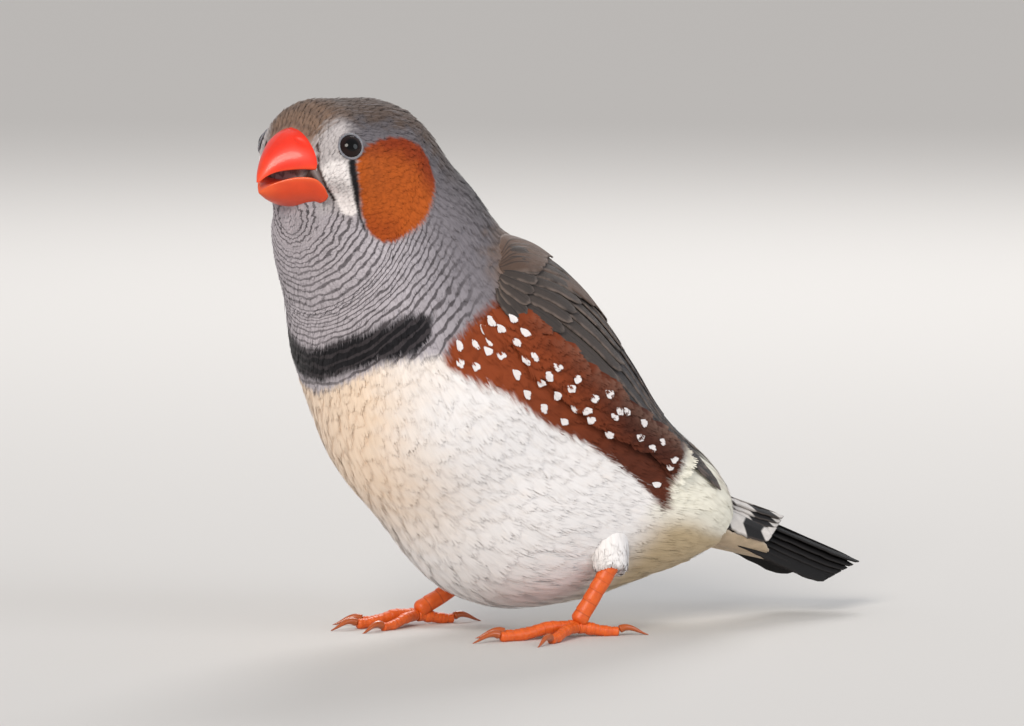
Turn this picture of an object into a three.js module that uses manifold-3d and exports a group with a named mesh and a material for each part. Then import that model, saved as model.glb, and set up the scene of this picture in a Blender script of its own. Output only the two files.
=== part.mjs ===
// Male zebra finch, life size, standing at rest with its head turned a little to its left.
// Millimetres, +Z up. The bill points along -X, the tail along +X, and the bird's left side is -Y.
import * as THREE from 'three';
import { mergeVertices } from 'three/addons/utils/BufferGeometryUtils.js';
import Module from 'manifold-3d';

const wasm = await Module();
wasm.setup();

const gap = 0.3;

// Masses under the plumage: centre x and z, half-lengths along, across and upright, tilt in degrees
const masses = [
  { name: 'cranium', x: -25.0, z: 61.8, along: 9.7, across: 8.0, upright: 8.4, tilt: 0 },
  { name: 'face', x: -33.8, z: 62.7, along: 3.3, across: 7.2, upright: 6.0, tilt: 0 },
  { name: 'nape', x: -17.0, z: 52.0, along: 8.0, across: 8.8, upright: 9.0, tilt: 45 },
  { name: 'throat', x: -25.8, z: 50.6, along: 9.0, across: 8.8, upright: 6.8, tilt: 0 },
  { name: 'crop', x: -21.0, z: 41.0, along: 11.6, across: 12.2, upright: 12.0, tilt: 0 },
  { name: 'breast', x: -14.0, z: 31.0, along: 14.6, across: 15.0, upright: 14.6, tilt: 0 },
  { name: 'mantle', x: -5.5, z: 42.0, along: 9.5, across: 10.0, upright: 8.0, tilt: 45 },
  { name: 'back', x: 1.0, z: 33.5, along: 17.0, across: 13.2, upright: 9.8, tilt: 48 },
  { name: 'belly', x: -4.0, z: 19.6, along: 15.4, across: 12.6, upright: 15.2, tilt: 35 },
  { name: 'seat', x: 6.0, z: 13.4, along: 9.0, across: 6.8, upright: 7.2, tilt: 10 },
  { name: 'vent', x: 12.5, z: 18.0, along: 12.0, across: 9.6, upright: 8.2, tilt: 28 },
  { name: 'rump', x: 20.0, z: 18.6, along: 9.0, across: 6.6, upright: 4.8, tilt: 34 },
];
const blendWidth = 2.6;

// Small hollow beside the gape on each side, before the head is turned
const gape = { x: -35.4, y: 6.5, z: 57.9, reach: 2.1, depth: 1.8 };

// Line through the body from face to tail root, with the lean of the section there
const spine = [
  { x: -26.5, z: 57.5, lean: 30 },
  { x: -23.0, z: 51.0, lean: 40 },
  { x: -16.5, z: 42.0, lean: 46 },
  { x: -8.5, z: 32.5, lean: 47 },
  { x: 1.0, z: 25.0, lean: 46 },
  { x: 11.0, z: 20.0, lean: 42 },
  { x: 21.0, z: 17.0, lean: 34 },
];
const faceLean = -14;
const tailLean = 30;
const capShare = 0.16;
const reach = 36;

// Turn of the head to the left, about an upright line through the neck
const headTurn = 14;
const turnX = -19;
const turnStart = { x: -13, z: 40, along: -0.64, up: 0.77, delay: 1, length: 17 };

const bodyRows = 34;
const bodyAround = 26;
const headPlane = { u: 0.205, size: 60 };
const neckPlane = { u: 0.335, size: 60 };

// Bill: culmen, cutting edge and half-width of each half, from inside the face to the tip
const upperBill = {
  top: [[-36.0, 67.4], [-37.3, 67.1], [-38.7, 66.4], [-40.2, 65.1], [-41.4, 63.6], [-42.2, 62.0], [-42.7, 60.6]],
  edge: [[-36.0, 61.8], [-37.2, 62.0], [-38.3, 62.1], [-39.6, 62.0], [-41.0, 61.7], [-42.0, 61.1], [-42.6, 60.4]],
  half: [5.6, 5.1, 4.2, 2.9, 1.7, 0.85, 0.2],
};
const lowerBill = {
  top: [[-36.1, 58.8], [-36.8, 60.1], [-37.7, 61.0], [-39.2, 61.1], [-40.7, 60.6], [-41.7, 60.0], [-42.3, 59.4]],
  edge: [[-36.1, 57.2], [-36.8, 57.1], [-37.7, 57.2], [-39.3, 57.5], [-40.8, 58.1], [-41.7, 58.6], [-42.3, 59.0]],
  half: [6.0, 5.9, 5.2, 3.6, 2.1, 1.05, 0.25],
};
const nostril = { x: -38.0, y: 2.75, z: 65.6, radius: 0.42 };

// Eyes, in the head before it is turned
const eye = {
  u: 0.087,
  v: 0.150,
  radius: 1.75,
  opening: 1.42,
  lidRadius: 1.87,
  lidThick: 0.38,
  lidDrop: 0.22,
};

// Folded wing: its lower and upper edge from the shoulder to the tip, as places on the body
const wingLower = [
  [0.385, 0.168], [0.430, 0.194], [0.500, 0.194], [0.600, 0.190], [0.700, 0.190], [0.780, 0.198], [0.855, 0.212],
];
const wingUpper = [
  [0.372, 0.125], [0.385, 0.070], [0.450, 0.026], [0.550, 0.014], [0.650, 0.022], [0.760, 0.078], [0.855, 0.180],
];
const bedDepth = 1.5;
const bedMargin = 0.06;
const wingBase = bedDepth - gap;
const wingCore = { end: 0.46, rows: 8, columns: 5, edge: 0.5, crown: 1.1 };

// Tiers of wing feathers: how many, the place of the first and last root and tip along and across the wing,
// half-width, height at root and tip, roll in degrees
const wingTiers = {
  primary: {
    count: 5,
    root: [[0.42, 0.10], [0.40, 0.50]],
    tip: [[1.00, 0.40], [0.80, 0.62]],
    half: 1.30,
    height: [-0.40, 0.45],
    roll: 12,
  },
  secondary: {
    count: 5,
    root: [[0.34, 0.08], [0.34, 0.66]],
    tip: [[0.72, 0.10], [0.77, 0.66]],
    half: 1.55,
    height: [-0.25, 0.10],
    roll: 12,
  },
  tertial: {
    count: 3,
    root: [[0.36, 0.66], [0.34, 0.90]],
    tip: [[0.84, 0.66], [0.66, 0.90]],
    half: 1.75,
    height: [-0.05, 0.35],
    roll: 10,
  },
  greaterCovert: {
    count: 6,
    root: [[0.20, 0.07], [0.24, 0.86]],
    tip: [[0.47, 0.07], [0.54, 0.80]],
    half: 1.35,
    height: [-0.10, 0.45],
    roll: 12,
  },
  medianCovert: {
    count: 5,
    root: [[0.12, 0.14], [0.13, 0.78]],
    tip: [[0.29, 0.08], [0.36, 0.80]],
    half: 1.45,
    height: [-0.05, 0.70],
    roll: 10,
  },
  scapular: {
    count: 4,
    root: [[0.15, 0.62], [0.20, 0.90]],
    tip: [[0.40, 0.72], [0.50, 0.93]],
    half: 1.90,
    height: [-0.10, 0.75],
    roll: 8,
  },
};

// Tail: root and tip of the middle and the outermost feather of one side, and the coverts above and below
const tailFeathers = {
  count: 6,
  root: [[25.0, 0.5, 17.4], [24.0, 2.2, 14.6]],
  tip: [[49.2, 0.9, 7.0], [42.6, 4.3, 5.6]],
  half: 1.75,
  roll: [14, 52],
};
const upperCoverts = {
  count: 4,
  root: [[21.0, 0.6, 19.6], [21.0, 4.4, 17.0]],
  tip: [[37.6, 0.8, 13.6], [33.6, 4.6, 11.6]],
  half: 1.9,
  roll: [14, 50],
};
const underCoverts = {
  count: 3,
  root: [[21.0, 0.6, 11.6], [21.0, 4.0, 13.2]],
  tip: [[35.6, 0.9, 8.0], [33.4, 3.6, 9.2]],
  half: 1.9,
  roll: [-8, -34],
};
const tailCore = [
  { x: 22.0, half: 5.2, low: 11.4, high: 20.2 },
  { x: 25.0, half: 5.0, low: 11.2, high: 19.2 },
  { x: 28.0, half: 4.2, low: 11.0, high: 17.4 },
  { x: 31.0, half: 3.0, low: 10.6, high: 15.0 },
];
const vaneThick = 0.55;
const vaneTip = 0.3;

// Legs: feathered thigh, bare shank and the toes on each side, toe heights over the floor
const legs = {
  left: {
    thigh: [[7.0, -8.0, 14.5], [5.9, -11.0, 9.9]],
    shank: [[5.6, -11.2, 9.6], [1.5, -10.0, 2.5]],
    toes: [
      { path: [[1.5, -10.0, 1.3], [-2.6, -9.9, 1.35], [-6.4, -9.9, 0.70], [-9.8, -10.0, 0.60]], thick: 0.86 },
      { path: [[1.5, -10.0, 1.3], [-1.2, -12.0, 1.2], [-3.4, -13.7, 0.58], [-5.0, -14.9, 0.50]], thick: 0.74 },
      { path: [[1.5, -10.0, 1.3], [-2.0, -8.2, 1.2], [-4.9, -7.1, 0.54], [-7.2, -6.4, 0.46]], thick: 0.70 },
      { path: [[1.5, -10.0, 1.3], [3.3, -10.5, 1.0], [5.2, -11.0, 0.62], [6.9, -11.5, 0.54]], thick: 0.80 },
    ],
  },
  right: {
    thigh: [[4.5, 7.2, 12.0], [-2.2, 10.4, 7.4]],
    shank: [[-2.6, 10.5, 7.15], [-11.0, 11.0, 2.5]],
    toes: [
      { path: [[-11.0, 11.0, 1.3], [-14.2, 11.0, 1.35], [-17.2, 10.8, 0.70], [-20.0, 10.5, 0.60]], thick: 0.86 },
      { path: [[-11.0, 11.0, 1.3], [-13.4, 12.7, 1.2], [-15.4, 13.7, 0.58], [-17.2, 14.4, 0.50]], thick: 0.74 },
      { path: [[-11.0, 11.0, 1.3], [-13.6, 9.0, 1.2], [-16.0, 7.9, 0.54], [-18.0, 7.1, 0.46]], thick: 0.70 },
      { path: [[-11.0, 11.0, 1.3], [-9.1, 10.9, 1.0], [-7.2, 10.8, 0.62], [-5.6, 10.7, 0.54]], thick: 0.80 },
    ],
  },
};
const thighThick = [3.1, 1.9];
const shankThick = [1.15, 0.98];
const floorLevel = 0.8;
const toeShape = { hub: 1.35, taper: 0.28, pads: 0.07 };
const claw = { length: 3.5, thick: 0.5, taper: 0.8, arch: 0.75, droop: 0.55, base: 0.22 };
const toeNames = ['middle', 'outer', 'inner', 'hind'];

const looks = {
  grey: { color: 0x8f8a86, roughness: 0.9, metalness: 0 },
  white: { color: 0xe2dcd2, roughness: 0.9, metalness: 0 },
  brown: { color: 0x6d6159, roughness: 0.85, metalness: 0 },
  black: { color: 0x17161a, roughness: 0.6, metalness: 0 },
  red: { color: 0xf0380c, roughness: 0.3, metalness: 0 },
  orange: { color: 0xe8641c, roughness: 0.5, metalness: 0 },
  horn: { color: 0xa85a28, roughness: 0.4, metalness: 0 },
  dark: { color: 0x120807, roughness: 0.05, metalness: 0 },
};

// Small vector helpers on [x, y, z]
const radians = (degrees) => (degrees * Math.PI) / 180;
const mix = (a, b, t) => a.map((value, k) => value + (b[k] - value) * t);
const clamp = (value, low, high) => Math.min(high, Math.max(low, value));
const unit = (a) => a.map((value) => value / Math.hypot(...a));
const plus = (a, b, share = 1) => a.map((value, k) => value + b[k] * share);
const minus = (a, b) => a.map((value, k) => value - b[k]);
const cross = (a, b) => [a[1] * b[2] - a[2] * b[1], a[2] * b[0] - a[0] * b[2], a[0] * b[1] - a[1] * b[0]];

// Smooth union of the masses less the gape hollows: negative inside, about the distance in millimetres outside
function field([px, py, pz]) {
  let total = 0;
  for (const m of masses) {
    const t = radians(m.tilt);
    const dx = px - m.x;
    const dz = pz - m.z;
    const along = dx * Math.cos(t) - dz * Math.sin(t);
    const up = dx * Math.sin(t) + dz * Math.cos(t);
    const q = Math.hypot(along / m.along, py / m.across, up / m.upright);
    const f = (q - 1) * Math.min(m.along, m.across, m.upright);
    total += Math.exp(clamp(-f / blendWidth, -60, 60));
  }
  const away = (px - gape.x) ** 2 + (Math.abs(py) - gape.y) ** 2 + (pz - gape.z) ** 2;
  return gape.depth * Math.exp(-away / gape.reach ** 2) - blendWidth * Math.log(total);
}

// Curve through points of any number of coordinates, t from 0 to 1
function alongCurve(points, t) {
  const n = points.length - 1;
  const i = clamp(Math.floor(t * n), 0, n - 1);
  const f = t * n - i;
  const p1 = points[i];
  const p2 = points[i + 1];
  const p0 = i > 0 ? points[i - 1] : mix(p2, p1, 2);
  const p3 = i + 2 <= n ? points[i + 2] : mix(p1, p2, 2);
  return p1.map((b, k) => {
    const a = p0[k];
    const c = p2[k];
    const d = p3[k];
    return 0.5 * (2 * b + (c - a) * f + (2 * a - 5 * b + 4 * c - d) * f ** 2 + (3 * b - a - 3 * c + d) * f ** 3);
  });
}

function turnWithHead([x, y, z]) {
  const s = (x - turnStart.x) * turnStart.along + (z - turnStart.z) * turnStart.up;
  const w = clamp((s - turnStart.delay) / turnStart.length, 0, 1);
  const angle = w * w * (3 - 2 * w) * radians(headTurn);
  const dx = x - turnX;
  return [turnX + dx * Math.cos(angle) - y * Math.sin(angle), dx * Math.sin(angle) + y * Math.cos(angle), z];
}

// Section of the body at u: its centre, the polar angle of the end caps and its lean
function sectionAt(u) {
  const along = clamp((u - capShare) / (1 - 2 * capShare), 0, 1);
  const [x, z, spineLean] = alongCurve(spine.map((s) => [s.x, s.z, s.lean]), along);
  let polar = 0;
  if (u < capShare) polar = (1 - u / capShare) * 90;
  if (u > 1 - capShare) polar = (-(u - 1 + capShare) / capShare) * 90;
  const poleLean = polar > 0 ? faceLean : tailLean;
  const lean = spineLean + ((poleLean - spineLean) * Math.abs(polar)) / 90;
  return { centre: [x, 0, z], polar: radians(polar), lean: radians(lean) };
}

// Point over the body: u from the face to the tail root, v round from the back over the left side, at a height
function onBody(u, v, height = 0) {
  const { centre, polar, lean } = sectionAt(u);
  const angle = v * 2 * Math.PI;
  const side = Math.cos(polar) * Math.cos(angle);
  const ahead = Math.sin(polar);
  const direction = [
    side * Math.sin(lean) - ahead * Math.cos(lean),
    -Math.cos(polar) * Math.sin(angle),
    side * Math.cos(lean) + ahead * Math.sin(lean),
  ];
  let low = 0;
  let high = reach;
  for (let k = 0; k < 24; k += 1) {
    const middle = (low + high) / 2;
    if (field(centre.map((c, i) => c + direction[i] * middle)) < height) low = middle;
    else high = middle;
  }
  return turnWithHead(centre.map((c, i) => c + direction[i] * low));
}

// Outward direction of the body's surface at u, v
function outwardAt(u, v) {
  const step = 0.004;
  const du = onBody(u + step, v).map((value, k) => value - onBody(u - step, v)[k]);
  const dv = onBody(u, v + step).map((value, k) => value - onBody(u, v - step)[k]);
  return unit(cross(dv, du));
}

// Solid from points and triangles, turned outside out where its volume comes out negative
function solidFrom(points, triangles) {
  const volume = triangles.reduce((sum, [a, b, c]) => {
    const n = cross(points[b], points[c]);
    return sum + points[a][0] * n[0] + points[a][1] * n[1] + points[a][2] * n[2];
  }, 0);
  const facing = volume < 0 ? triangles.map(([a, b, c]) => [a, c, b]) : triangles;
  return new wasm.Manifold(new wasm.Mesh({
    numProp: 3,
    vertProperties: new Float32Array(points.flat()),
    triVerts: new Uint32Array(facing.flat()),
  }));
}

// Closed skin over rings of equal count, each end drawn to a point
function ringSolid(rings, startPoint, endPoint) {
  const count = rings[0].length;
  const points = [startPoint, ...rings.flat(), endPoint];
  const last = points.length - 1;
  const triangles = [];
  for (let k = 0; k < count; k += 1) {
    const next = (k + 1) % count;
    triangles.push([0, 1 + next, 1 + k]);
    for (let i = 0; i + 1 < rings.length; i += 1) {
      const a = 1 + i * count;
      const b = a + count;
      triangles.push([a + k, a + next, b + next], [a + k, b + next, b + k]);
    }
    const end = last - count;
    triangles.push([last, end + k, end + next]);
  }
  return solidFrom(points, triangles);
}

// Thin plate between a top and a bottom grid of points, both split into triangles alike
function plateSolid(top, bottom) {
  const rows = top.length;
  const columns = top[0].length;
  const points = [...top.flat(), ...bottom.flat()];
  const under = rows * columns;
  const at = (i, j) => i * columns + j;
  const triangles = [];
  for (let i = 0; i + 1 < rows; i += 1) {
    for (let j = 0; j + 1 < columns; j += 1) {
      const [a, b, c, d] = [at(i, j), at(i, j + 1), at(i + 1, j + 1), at(i + 1, j)];
      triangles.push([a, b, c], [a, c, d], [under + a, under + c, under + b], [under + a, under + d, under + c]);
    }
  }
  const rim = [];
  for (let j = 0; j + 1 < columns; j += 1) rim.push(at(0, j));
  for (let i = 0; i + 1 < rows; i += 1) rim.push(at(i, columns - 1));
  for (let j = columns - 1; j > 0; j -= 1) rim.push(at(rows - 1, j));
  for (let i = rows - 1; i > 0; i -= 1) rim.push(at(i, 0));
  rim.forEach((a, k) => {
    const b = rim[(k + 1) % rim.length];
    triangles.push([a, under + a, under + b], [a, under + b, b]);
  });
  return solidFrom(points, triangles);
}

// Solid of a three.js geometry
function geometrySolid(geometry) {
  const bare = geometry.clone();
  bare.deleteAttribute('normal');
  bare.deleteAttribute('uv');
  const merged = mergeVertices(bare, 1e-5);
  return new wasm.Manifold(new wasm.Mesh({
    numProp: 3,
    vertProperties: new Float32Array(merged.attributes.position.array),
    triVerts: new Uint32Array(merged.index.array),
  }));
}

function largest(solid) {
  return solid.decompose().sort((a, b) => b.volume() - a.volume())[0];
}

const group = new THREE.Group();

function addNode(name, solid, look) {
  const mesh = largest(solid).getMesh();
  const geometry = new THREE.BufferGeometry();
  geometry.setAttribute('position', new THREE.BufferAttribute(new Float32Array(mesh.vertProperties), 3));
  geometry.setIndex(new THREE.BufferAttribute(new Uint32Array(mesh.triVerts), 1));
  geometry.computeVertexNormals();
  const node = new THREE.Mesh(geometry, new THREE.MeshStandardMaterial(looks[look]));
  node.name = name;
  group.add(node);
}

// Whole body at a height over its surface
function bodySolid(height) {
  const rings = [];
  for (let i = 1; i < bodyRows; i += 1) {
    const ring = [];
    for (let k = 0; k < bodyAround; k += 1) ring.push(onBody(i / bodyRows, k / bodyAround, height));
    rings.push(ring);
  }
  return ringSolid(rings, onBody(0, 0, height), onBody(1, 0, height));
}

// Turn that takes the upward axis to a direction
function turnTo(direction) {
  return new THREE.Quaternion().setFromUnitVectors(new THREE.Vector3(0, 0, 1), new THREE.Vector3(...direction));
}

// Thin slab across the body at u
function slabAt({ u, size }) {
  const ring = [0, 0.25, 0.5, 0.75].map((v) => onBody(u, v));
  const centre = [0, 1, 2].map((k) => (ring[0][k] + ring[1][k] + ring[2][k] + ring[3][k]) / 4);
  const normal = unit(cross(minus(ring[1], ring[3]), minus(ring[0], ring[2])));
  const slab = new THREE.BoxGeometry(size, size, gap).applyQuaternion(turnTo(normal)).translate(...centre);
  return geometrySolid(slab);
}

// Tube through points with a thickness at each end, closed by rounded ends
function limbSolid(path, thickness, steps, sides) {
  const rings = [];
  const first = path[0];
  const last = path[path.length - 1];
  const wholeAxis = unit(last.map((value, k) => value - first[k]));
  const across = unit(cross(wholeAxis, Math.abs(wholeAxis[2]) > 0.9 ? [1, 0, 0] : [0, 0, 1]));
  for (let i = 0; i <= steps; i += 1) {
    const t = i / steps;
    const p = alongCurve(path, t);
    const ahead = alongCurve(path, Math.min(1, t + 0.02));
    const behind = alongCurve(path, Math.max(0, t - 0.02));
    const axis = unit(ahead.map((value, k) => value - behind[k]));
    const sideways = unit(cross(cross(axis, across), axis));
    const upward = cross(axis, sideways);
    const radius = thickness(t);
    const ring = [];
    for (let k = 0; k < sides; k += 1) {
      const angle = ((k + 0.5) / sides) * 2 * Math.PI;
      ring.push(plus(plus(p, sideways, radius * Math.cos(angle)), upward, radius * Math.sin(angle)));
    }
    rings.push(ring);
  }
  const startAxis = unit(first.map((value, k) => value - alongCurve(path, 0.05)[k]));
  const endAxis = unit(last.map((value, k) => value - alongCurve(path, 0.95)[k]));
  const startPoint = first.map((value, k) => value + startAxis[k] * thickness(0) * 0.3);
  const endPoint = last.map((value, k) => value + endAxis[k] * thickness(1) * 0.3);
  return ringSolid(rings, startPoint, endPoint);
}

// Half of the bill: a section between its top line and its lower line, pinched at each station
function billSolid({ top, edge, half }, bulge) {
  const stations = 10;
  const rings = [];
  const points = top.map((p, i) => [...p, ...edge[i], half[i]]);
  for (let i = 0; i <= stations; i += 1) {
    const [tx, tz, ex, ez, w] = alongCurve(points, i / stations);
    const ring = [];
    bulge.forEach(([share, width]) => ring.push([ex + (tx - ex) * share, width * w, ez + (tz - ez) * share]));
    [...bulge].reverse().slice(1, -1).forEach(([share, width]) => {
      ring.push([ex + (tx - ex) * share, -width * w, ez + (tz - ez) * share]);
    });
    rings.push(ring.map((p) => turnWithHead(p)));
  }
  const mid = (ring) => [0, 1, 2].map((k) => (ring[0][k] + ring[bulge.length - 1][k]) / 2);
  return ringSolid(rings, mid(rings[0]), mid(rings[stations]));
}

// Half sections of the bill: share of the height and of the half-width
const upperSection = [
  [1, 0], [0.93, 0.32], [0.76, 0.62], [0.48, 0.88], [0.2, 1], [0, 0.97], [0.05, 0.55], [0.1, 0],
];
const lowerSection = [
  [0.86, 0], [0.9, 0.6], [1, 0.97], [0.85, 1], [0.5, 0.88], [0.22, 0.6], [0.05, 0.28], [0, 0],
];

// Half of the bill made larger all round by the gap
function grown({ top, edge, half }) {
  const back = (x, i) => (i === 0 ? x + gap : x);
  return {
    top: top.map(([x, z], i) => [back(x, i), z + gap]),
    edge: edge.map(([x, z], i) => [back(x, i), z - gap]),
    half: half.map((width) => width + gap),
  };
}

// Body, parted into head, neck and torso
const whole = bodySolid(0);
const clearance = bodySolid(gap);
const parted = whole.subtract(slabAt(headPlane)).subtract(slabAt(neckPlane)).decompose();
const [torsoBlank, ...upperParts] = parted.sort((a, b) => b.volume() - a.volume());
let torso = torsoBlank;
const topOf = (solid) => solid.boundingBox().max[2];
const [headBlank, neck] = upperParts.slice(0, 2).sort((a, b) => topOf(b) - topOf(a));

// Eyes in their sockets, with a raised rim of lid round each
let head = headBlank;
const eyes = {};
for (const [side, v] of [['left', eye.v], ['right', 1 - eye.v]]) {
  const outward = outwardAt(eye.u, v);
  const sink = Math.sqrt(eye.radius ** 2 - eye.opening ** 2);
  const surface = onBody(eye.u, v);
  const centre = plus(surface, outward, -sink);
  const lid = new THREE.TorusGeometry(eye.lidRadius, eye.lidThick, 5, 16).applyQuaternion(turnTo(outward));
  lid.translate(...plus(centre, outward, sink - eye.lidDrop));
  const socket = new THREE.SphereGeometry(eye.radius + gap, 14, 9).translate(...centre);
  const ball = new THREE.SphereGeometry(eye.radius, 14, 9).translate(...centre);
  head = head.add(geometrySolid(lid)).subtract(geometrySolid(socket));
  eyes[side] = geometrySolid(ball);
}
head = head.subtract(billSolid(grown(upperBill), upperSection)).subtract(billSolid(grown(lowerBill), lowerSection));
addNode('head', head, 'grey');
addNode('neck', neck, 'grey');
addNode('eye_left', eyes.left, 'dark');
addNode('eye_right', eyes.right, 'dark');

// Bill, set into the face, with a nostril in each side of the upper half
let upper = billSolid(upperBill, upperSection);
for (const y of [-nostril.y, nostril.y]) {
  const pit = new THREE.SphereGeometry(nostril.radius, 8, 6).translate(...turnWithHead([nostril.x, y, nostril.z]));
  upper = upper.subtract(geometrySolid(pit));
}
addNode('bill_upper', upper, 'red');
addNode('bill_lower', billSolid(lowerBill, lowerSection), 'orange');

// Feather vane over a centre line, widest past its middle and narrowed at the tip
function vaneSolid(pointAt, outAt, half, roll) {
  const stations = [[0, 0.7], [0.45, 1], [0.86, 0.9], [1, 0.34]];
  const top = [];
  const bottom = [];
  for (const [t, share] of stations) {
    const axis = unit(minus(pointAt(Math.min(1, t + 0.05)), pointAt(Math.max(0, t - 0.05))));
    const level = unit(cross(axis, outAt(t)));
    const up = cross(level, axis);
    const across = plus(level.map((value) => value * Math.cos(roll)), up, Math.sin(roll));
    const normal = plus(up.map((value) => value * Math.cos(roll)), level, -Math.sin(roll));
    const thick = vaneThick + (vaneTip - vaneThick) * t;
    const row = [-1, 1].map((side) => plus(pointAt(t), across, side * share * half));
    top.push(row.map((p) => plus(p, normal, thick / 2)));
    bottom.push(row.map((p) => plus(p, normal, -thick / 2)));
  }
  return plateSolid(top, bottom);
}

// Place on the body from a place on the wing: a along it, b from its lower to its upper edge
function onWing(a, b) {
  return mix(alongCurve(wingLower, a), alongCurve(wingUpper, a), b);
}

// Plate over the wing's place on the body, its lowest and highest level given at each a, b
function wingPlate(mirror, end, rows, columns, margin, lowAt, highAt) {
  const grid = (heightAt) => {
    const points = [];
    for (let i = 0; i <= rows; i += 1) {
      const row = [];
      for (let j = 0; j <= columns; j += 1) {
        const a = -margin + (end + 2 * margin) * (i / rows);
        const b = -margin + (1 + 2 * margin) * (j / columns);
        const [u, v] = onWing(a, b);
        row.push(onBody(u, mirror ? 1 - v : v, heightAt(a, b)));
      }
      points.push(row);
    }
    return points;
  };
  return plateSolid(grid(highAt), grid(lowAt));
}

// Folded wing on one side: a core at the shoulder that carries the tiers of feathers
function wingSolid(mirror) {
  const { end, rows, columns, edge, crown } = wingCore;
  const dome = (a, b) => Math.sin(Math.PI * clamp(b, 0, 1)) * Math.sin(Math.PI * (0.1 + 0.75 * (a / end)));
  const crownAt = (a, b) => edge - wingBase + crown * dome(a, b);
  const parts = [wingPlate(mirror, end, rows, columns, 0, () => -wingBase, crownAt)];
  for (const { count, root, tip, half, height, roll } of Object.values(wingTiers)) {
    for (let k = 0; k < count; k += 1) {
      const share = k / (count - 1);
      const from = mix(root[0], root[1], share);
      const to = mix(tip[0], tip[1], share);
      const placeAt = (t) => {
        const [u, v] = onWing(...mix(from, to, t));
        return [u, mirror ? 1 - v : v];
      };
      const heightAt = (t) => height[0] + (height[1] - height[0]) * Math.min(1, 1.4 * t);
      const pointAt = (t) => onBody(...placeAt(t), heightAt(t));
      const outAt = (t) => outwardAt(...placeAt(t));
      parts.push(vaneSolid(pointAt, outAt, half, radians(mirror ? -roll : roll)));
    }
  }
  return wasm.Manifold.union(parts);
}
const wings = { left: wingSolid(false), right: wingSolid(true) };
for (const [side, mirror] of [['left', false], ['right', true]]) {
  addNode(`wing_${side}`, wings[side], 'brown');
  torso = torso.subtract(wingPlate(mirror, 1, 14, 4, bedMargin, () => -bedDepth, () => 4));
}
addNode('torso', torso, 'white');

// Tail: a short core under the coverts, and feathers laid like a low roof with the middle pair on top
function tailSolid() {
  const steps = 6;
  const sides = 12;
  const rings = [];
  for (let i = 0; i <= steps; i += 1) {
    const [x, half, low, high] = alongCurve(tailCore.map((s) => [s.x, s.half, s.low, s.high]), i / steps);
    const ring = [];
    for (let k = 0; k < sides; k += 1) {
      const angle = (k / sides) * 2 * Math.PI;
      ring.push([x, half * Math.sin(angle), (low + high) / 2 + ((high - low) / 2) * Math.cos(angle)]);
    }
    rings.push(ring);
  }
  const middle = (i) => [rings[i][0][0], 0, (rings[i][0][2] + rings[i][sides / 2][2]) / 2];
  const parts = [ringSolid(rings, middle(0), middle(steps))];
  for (const { count, root, tip, half, roll } of [tailFeathers, upperCoverts, underCoverts]) {
    for (let k = 0; k < count; k += 1) {
      const share = k / (count - 1);
      const from = mix(root[0], root[1], share);
      const to = mix(tip[0], tip[1], share);
      const tilt = radians(roll[0] + (roll[1] - roll[0]) * share);
      for (const side of [-1, 1]) {
        const pointAt = (t) => mix(from, to, t).map((value, c) => (c === 1 ? value * side : value));
        parts.push(vaneSolid(pointAt, () => [0.45, 0, 0.89], half, tilt * side));
      }
    }
  }
  return wasm.Manifold.union(parts);
}
addNode('tail', tailSolid().subtract(clearance), 'black');

// Legs and feet, cut flat where they stand
const floorBlock = geometrySolid(new THREE.BoxGeometry(200, 200, 20).translate(0, 0, floorLevel - 10));
for (const [side, leg] of Object.entries(legs)) {
  const raised = (path) => path.map(([x, y, z]) => [x, y, z + floorLevel]);
  const toes = leg.toes.map(({ path, thick }) => ({ path: raised(path), thick }));
  const between = ([first, last]) => (t) => first + (last - first) * t;
  const thigh = limbSolid(leg.thigh, between(thighThick), 4, 12);
  const shank = limbSolid(leg.shank, between(shankThick), 8, 10);
  const shankRoom = limbSolid(leg.shank, between(shankThick.map((thick) => thick + gap)), 8, 10);
  let foot = geometrySolid(new THREE.SphereGeometry(toeShape.hub, 10, 7).translate(...toes[0].path[0]));
  toes.forEach(({ path, thick }) => {
    const padded = (t) => thick * (1 - toeShape.taper * t) * (1 + toeShape.pads * Math.cos(6 * Math.PI * t));
    foot = foot.add(limbSolid(path, padded, 7, 7));
  });
  foot = foot.subtract(floorBlock);
  addNode(`thigh_${side}`, thigh.subtract(clearance).subtract(shankRoom), 'white');
  addNode(`foot_${side}`, foot.subtract(shankRoom), 'orange');
  addNode(`shank_${side}`, shank, 'orange');
  toes.forEach(({ path, thick }, k) => {
    const end = path[path.length - 1];
    const forward = unit(end.map((value, c) => (c === 2 ? 0 : value - path[path.length - 2][c])));
    const start = plus(end, forward, thick * claw.base + gap);
    const arc = [0, 0.35, 0.7, 1].map((t) => [
      start[0] + forward[0] * claw.length * t,
      start[1] + forward[1] * claw.length * t,
      start[2] + claw.arch * Math.sin(Math.PI * (t * 0.9 + 0.1)) * (1 - t) - claw.droop * t * t,
    ]);
    const solid = limbSolid(arc, (t) => claw.thick * (1 - claw.taper * t), 5, 6).subtract(floorBlock);
    addNode(`claw_${side}_${toeNames[k]}`, solid, 'horn');
  });
}

// The origin is the middle of the bird's box, at the level of its feet
const box = new THREE.Box3().setFromObject(group);
group.position.set(-(box.min.x + box.max.x) / 2, -(box.min.y + box.max.y) / 2, -box.min.z);

export default group;
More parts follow.
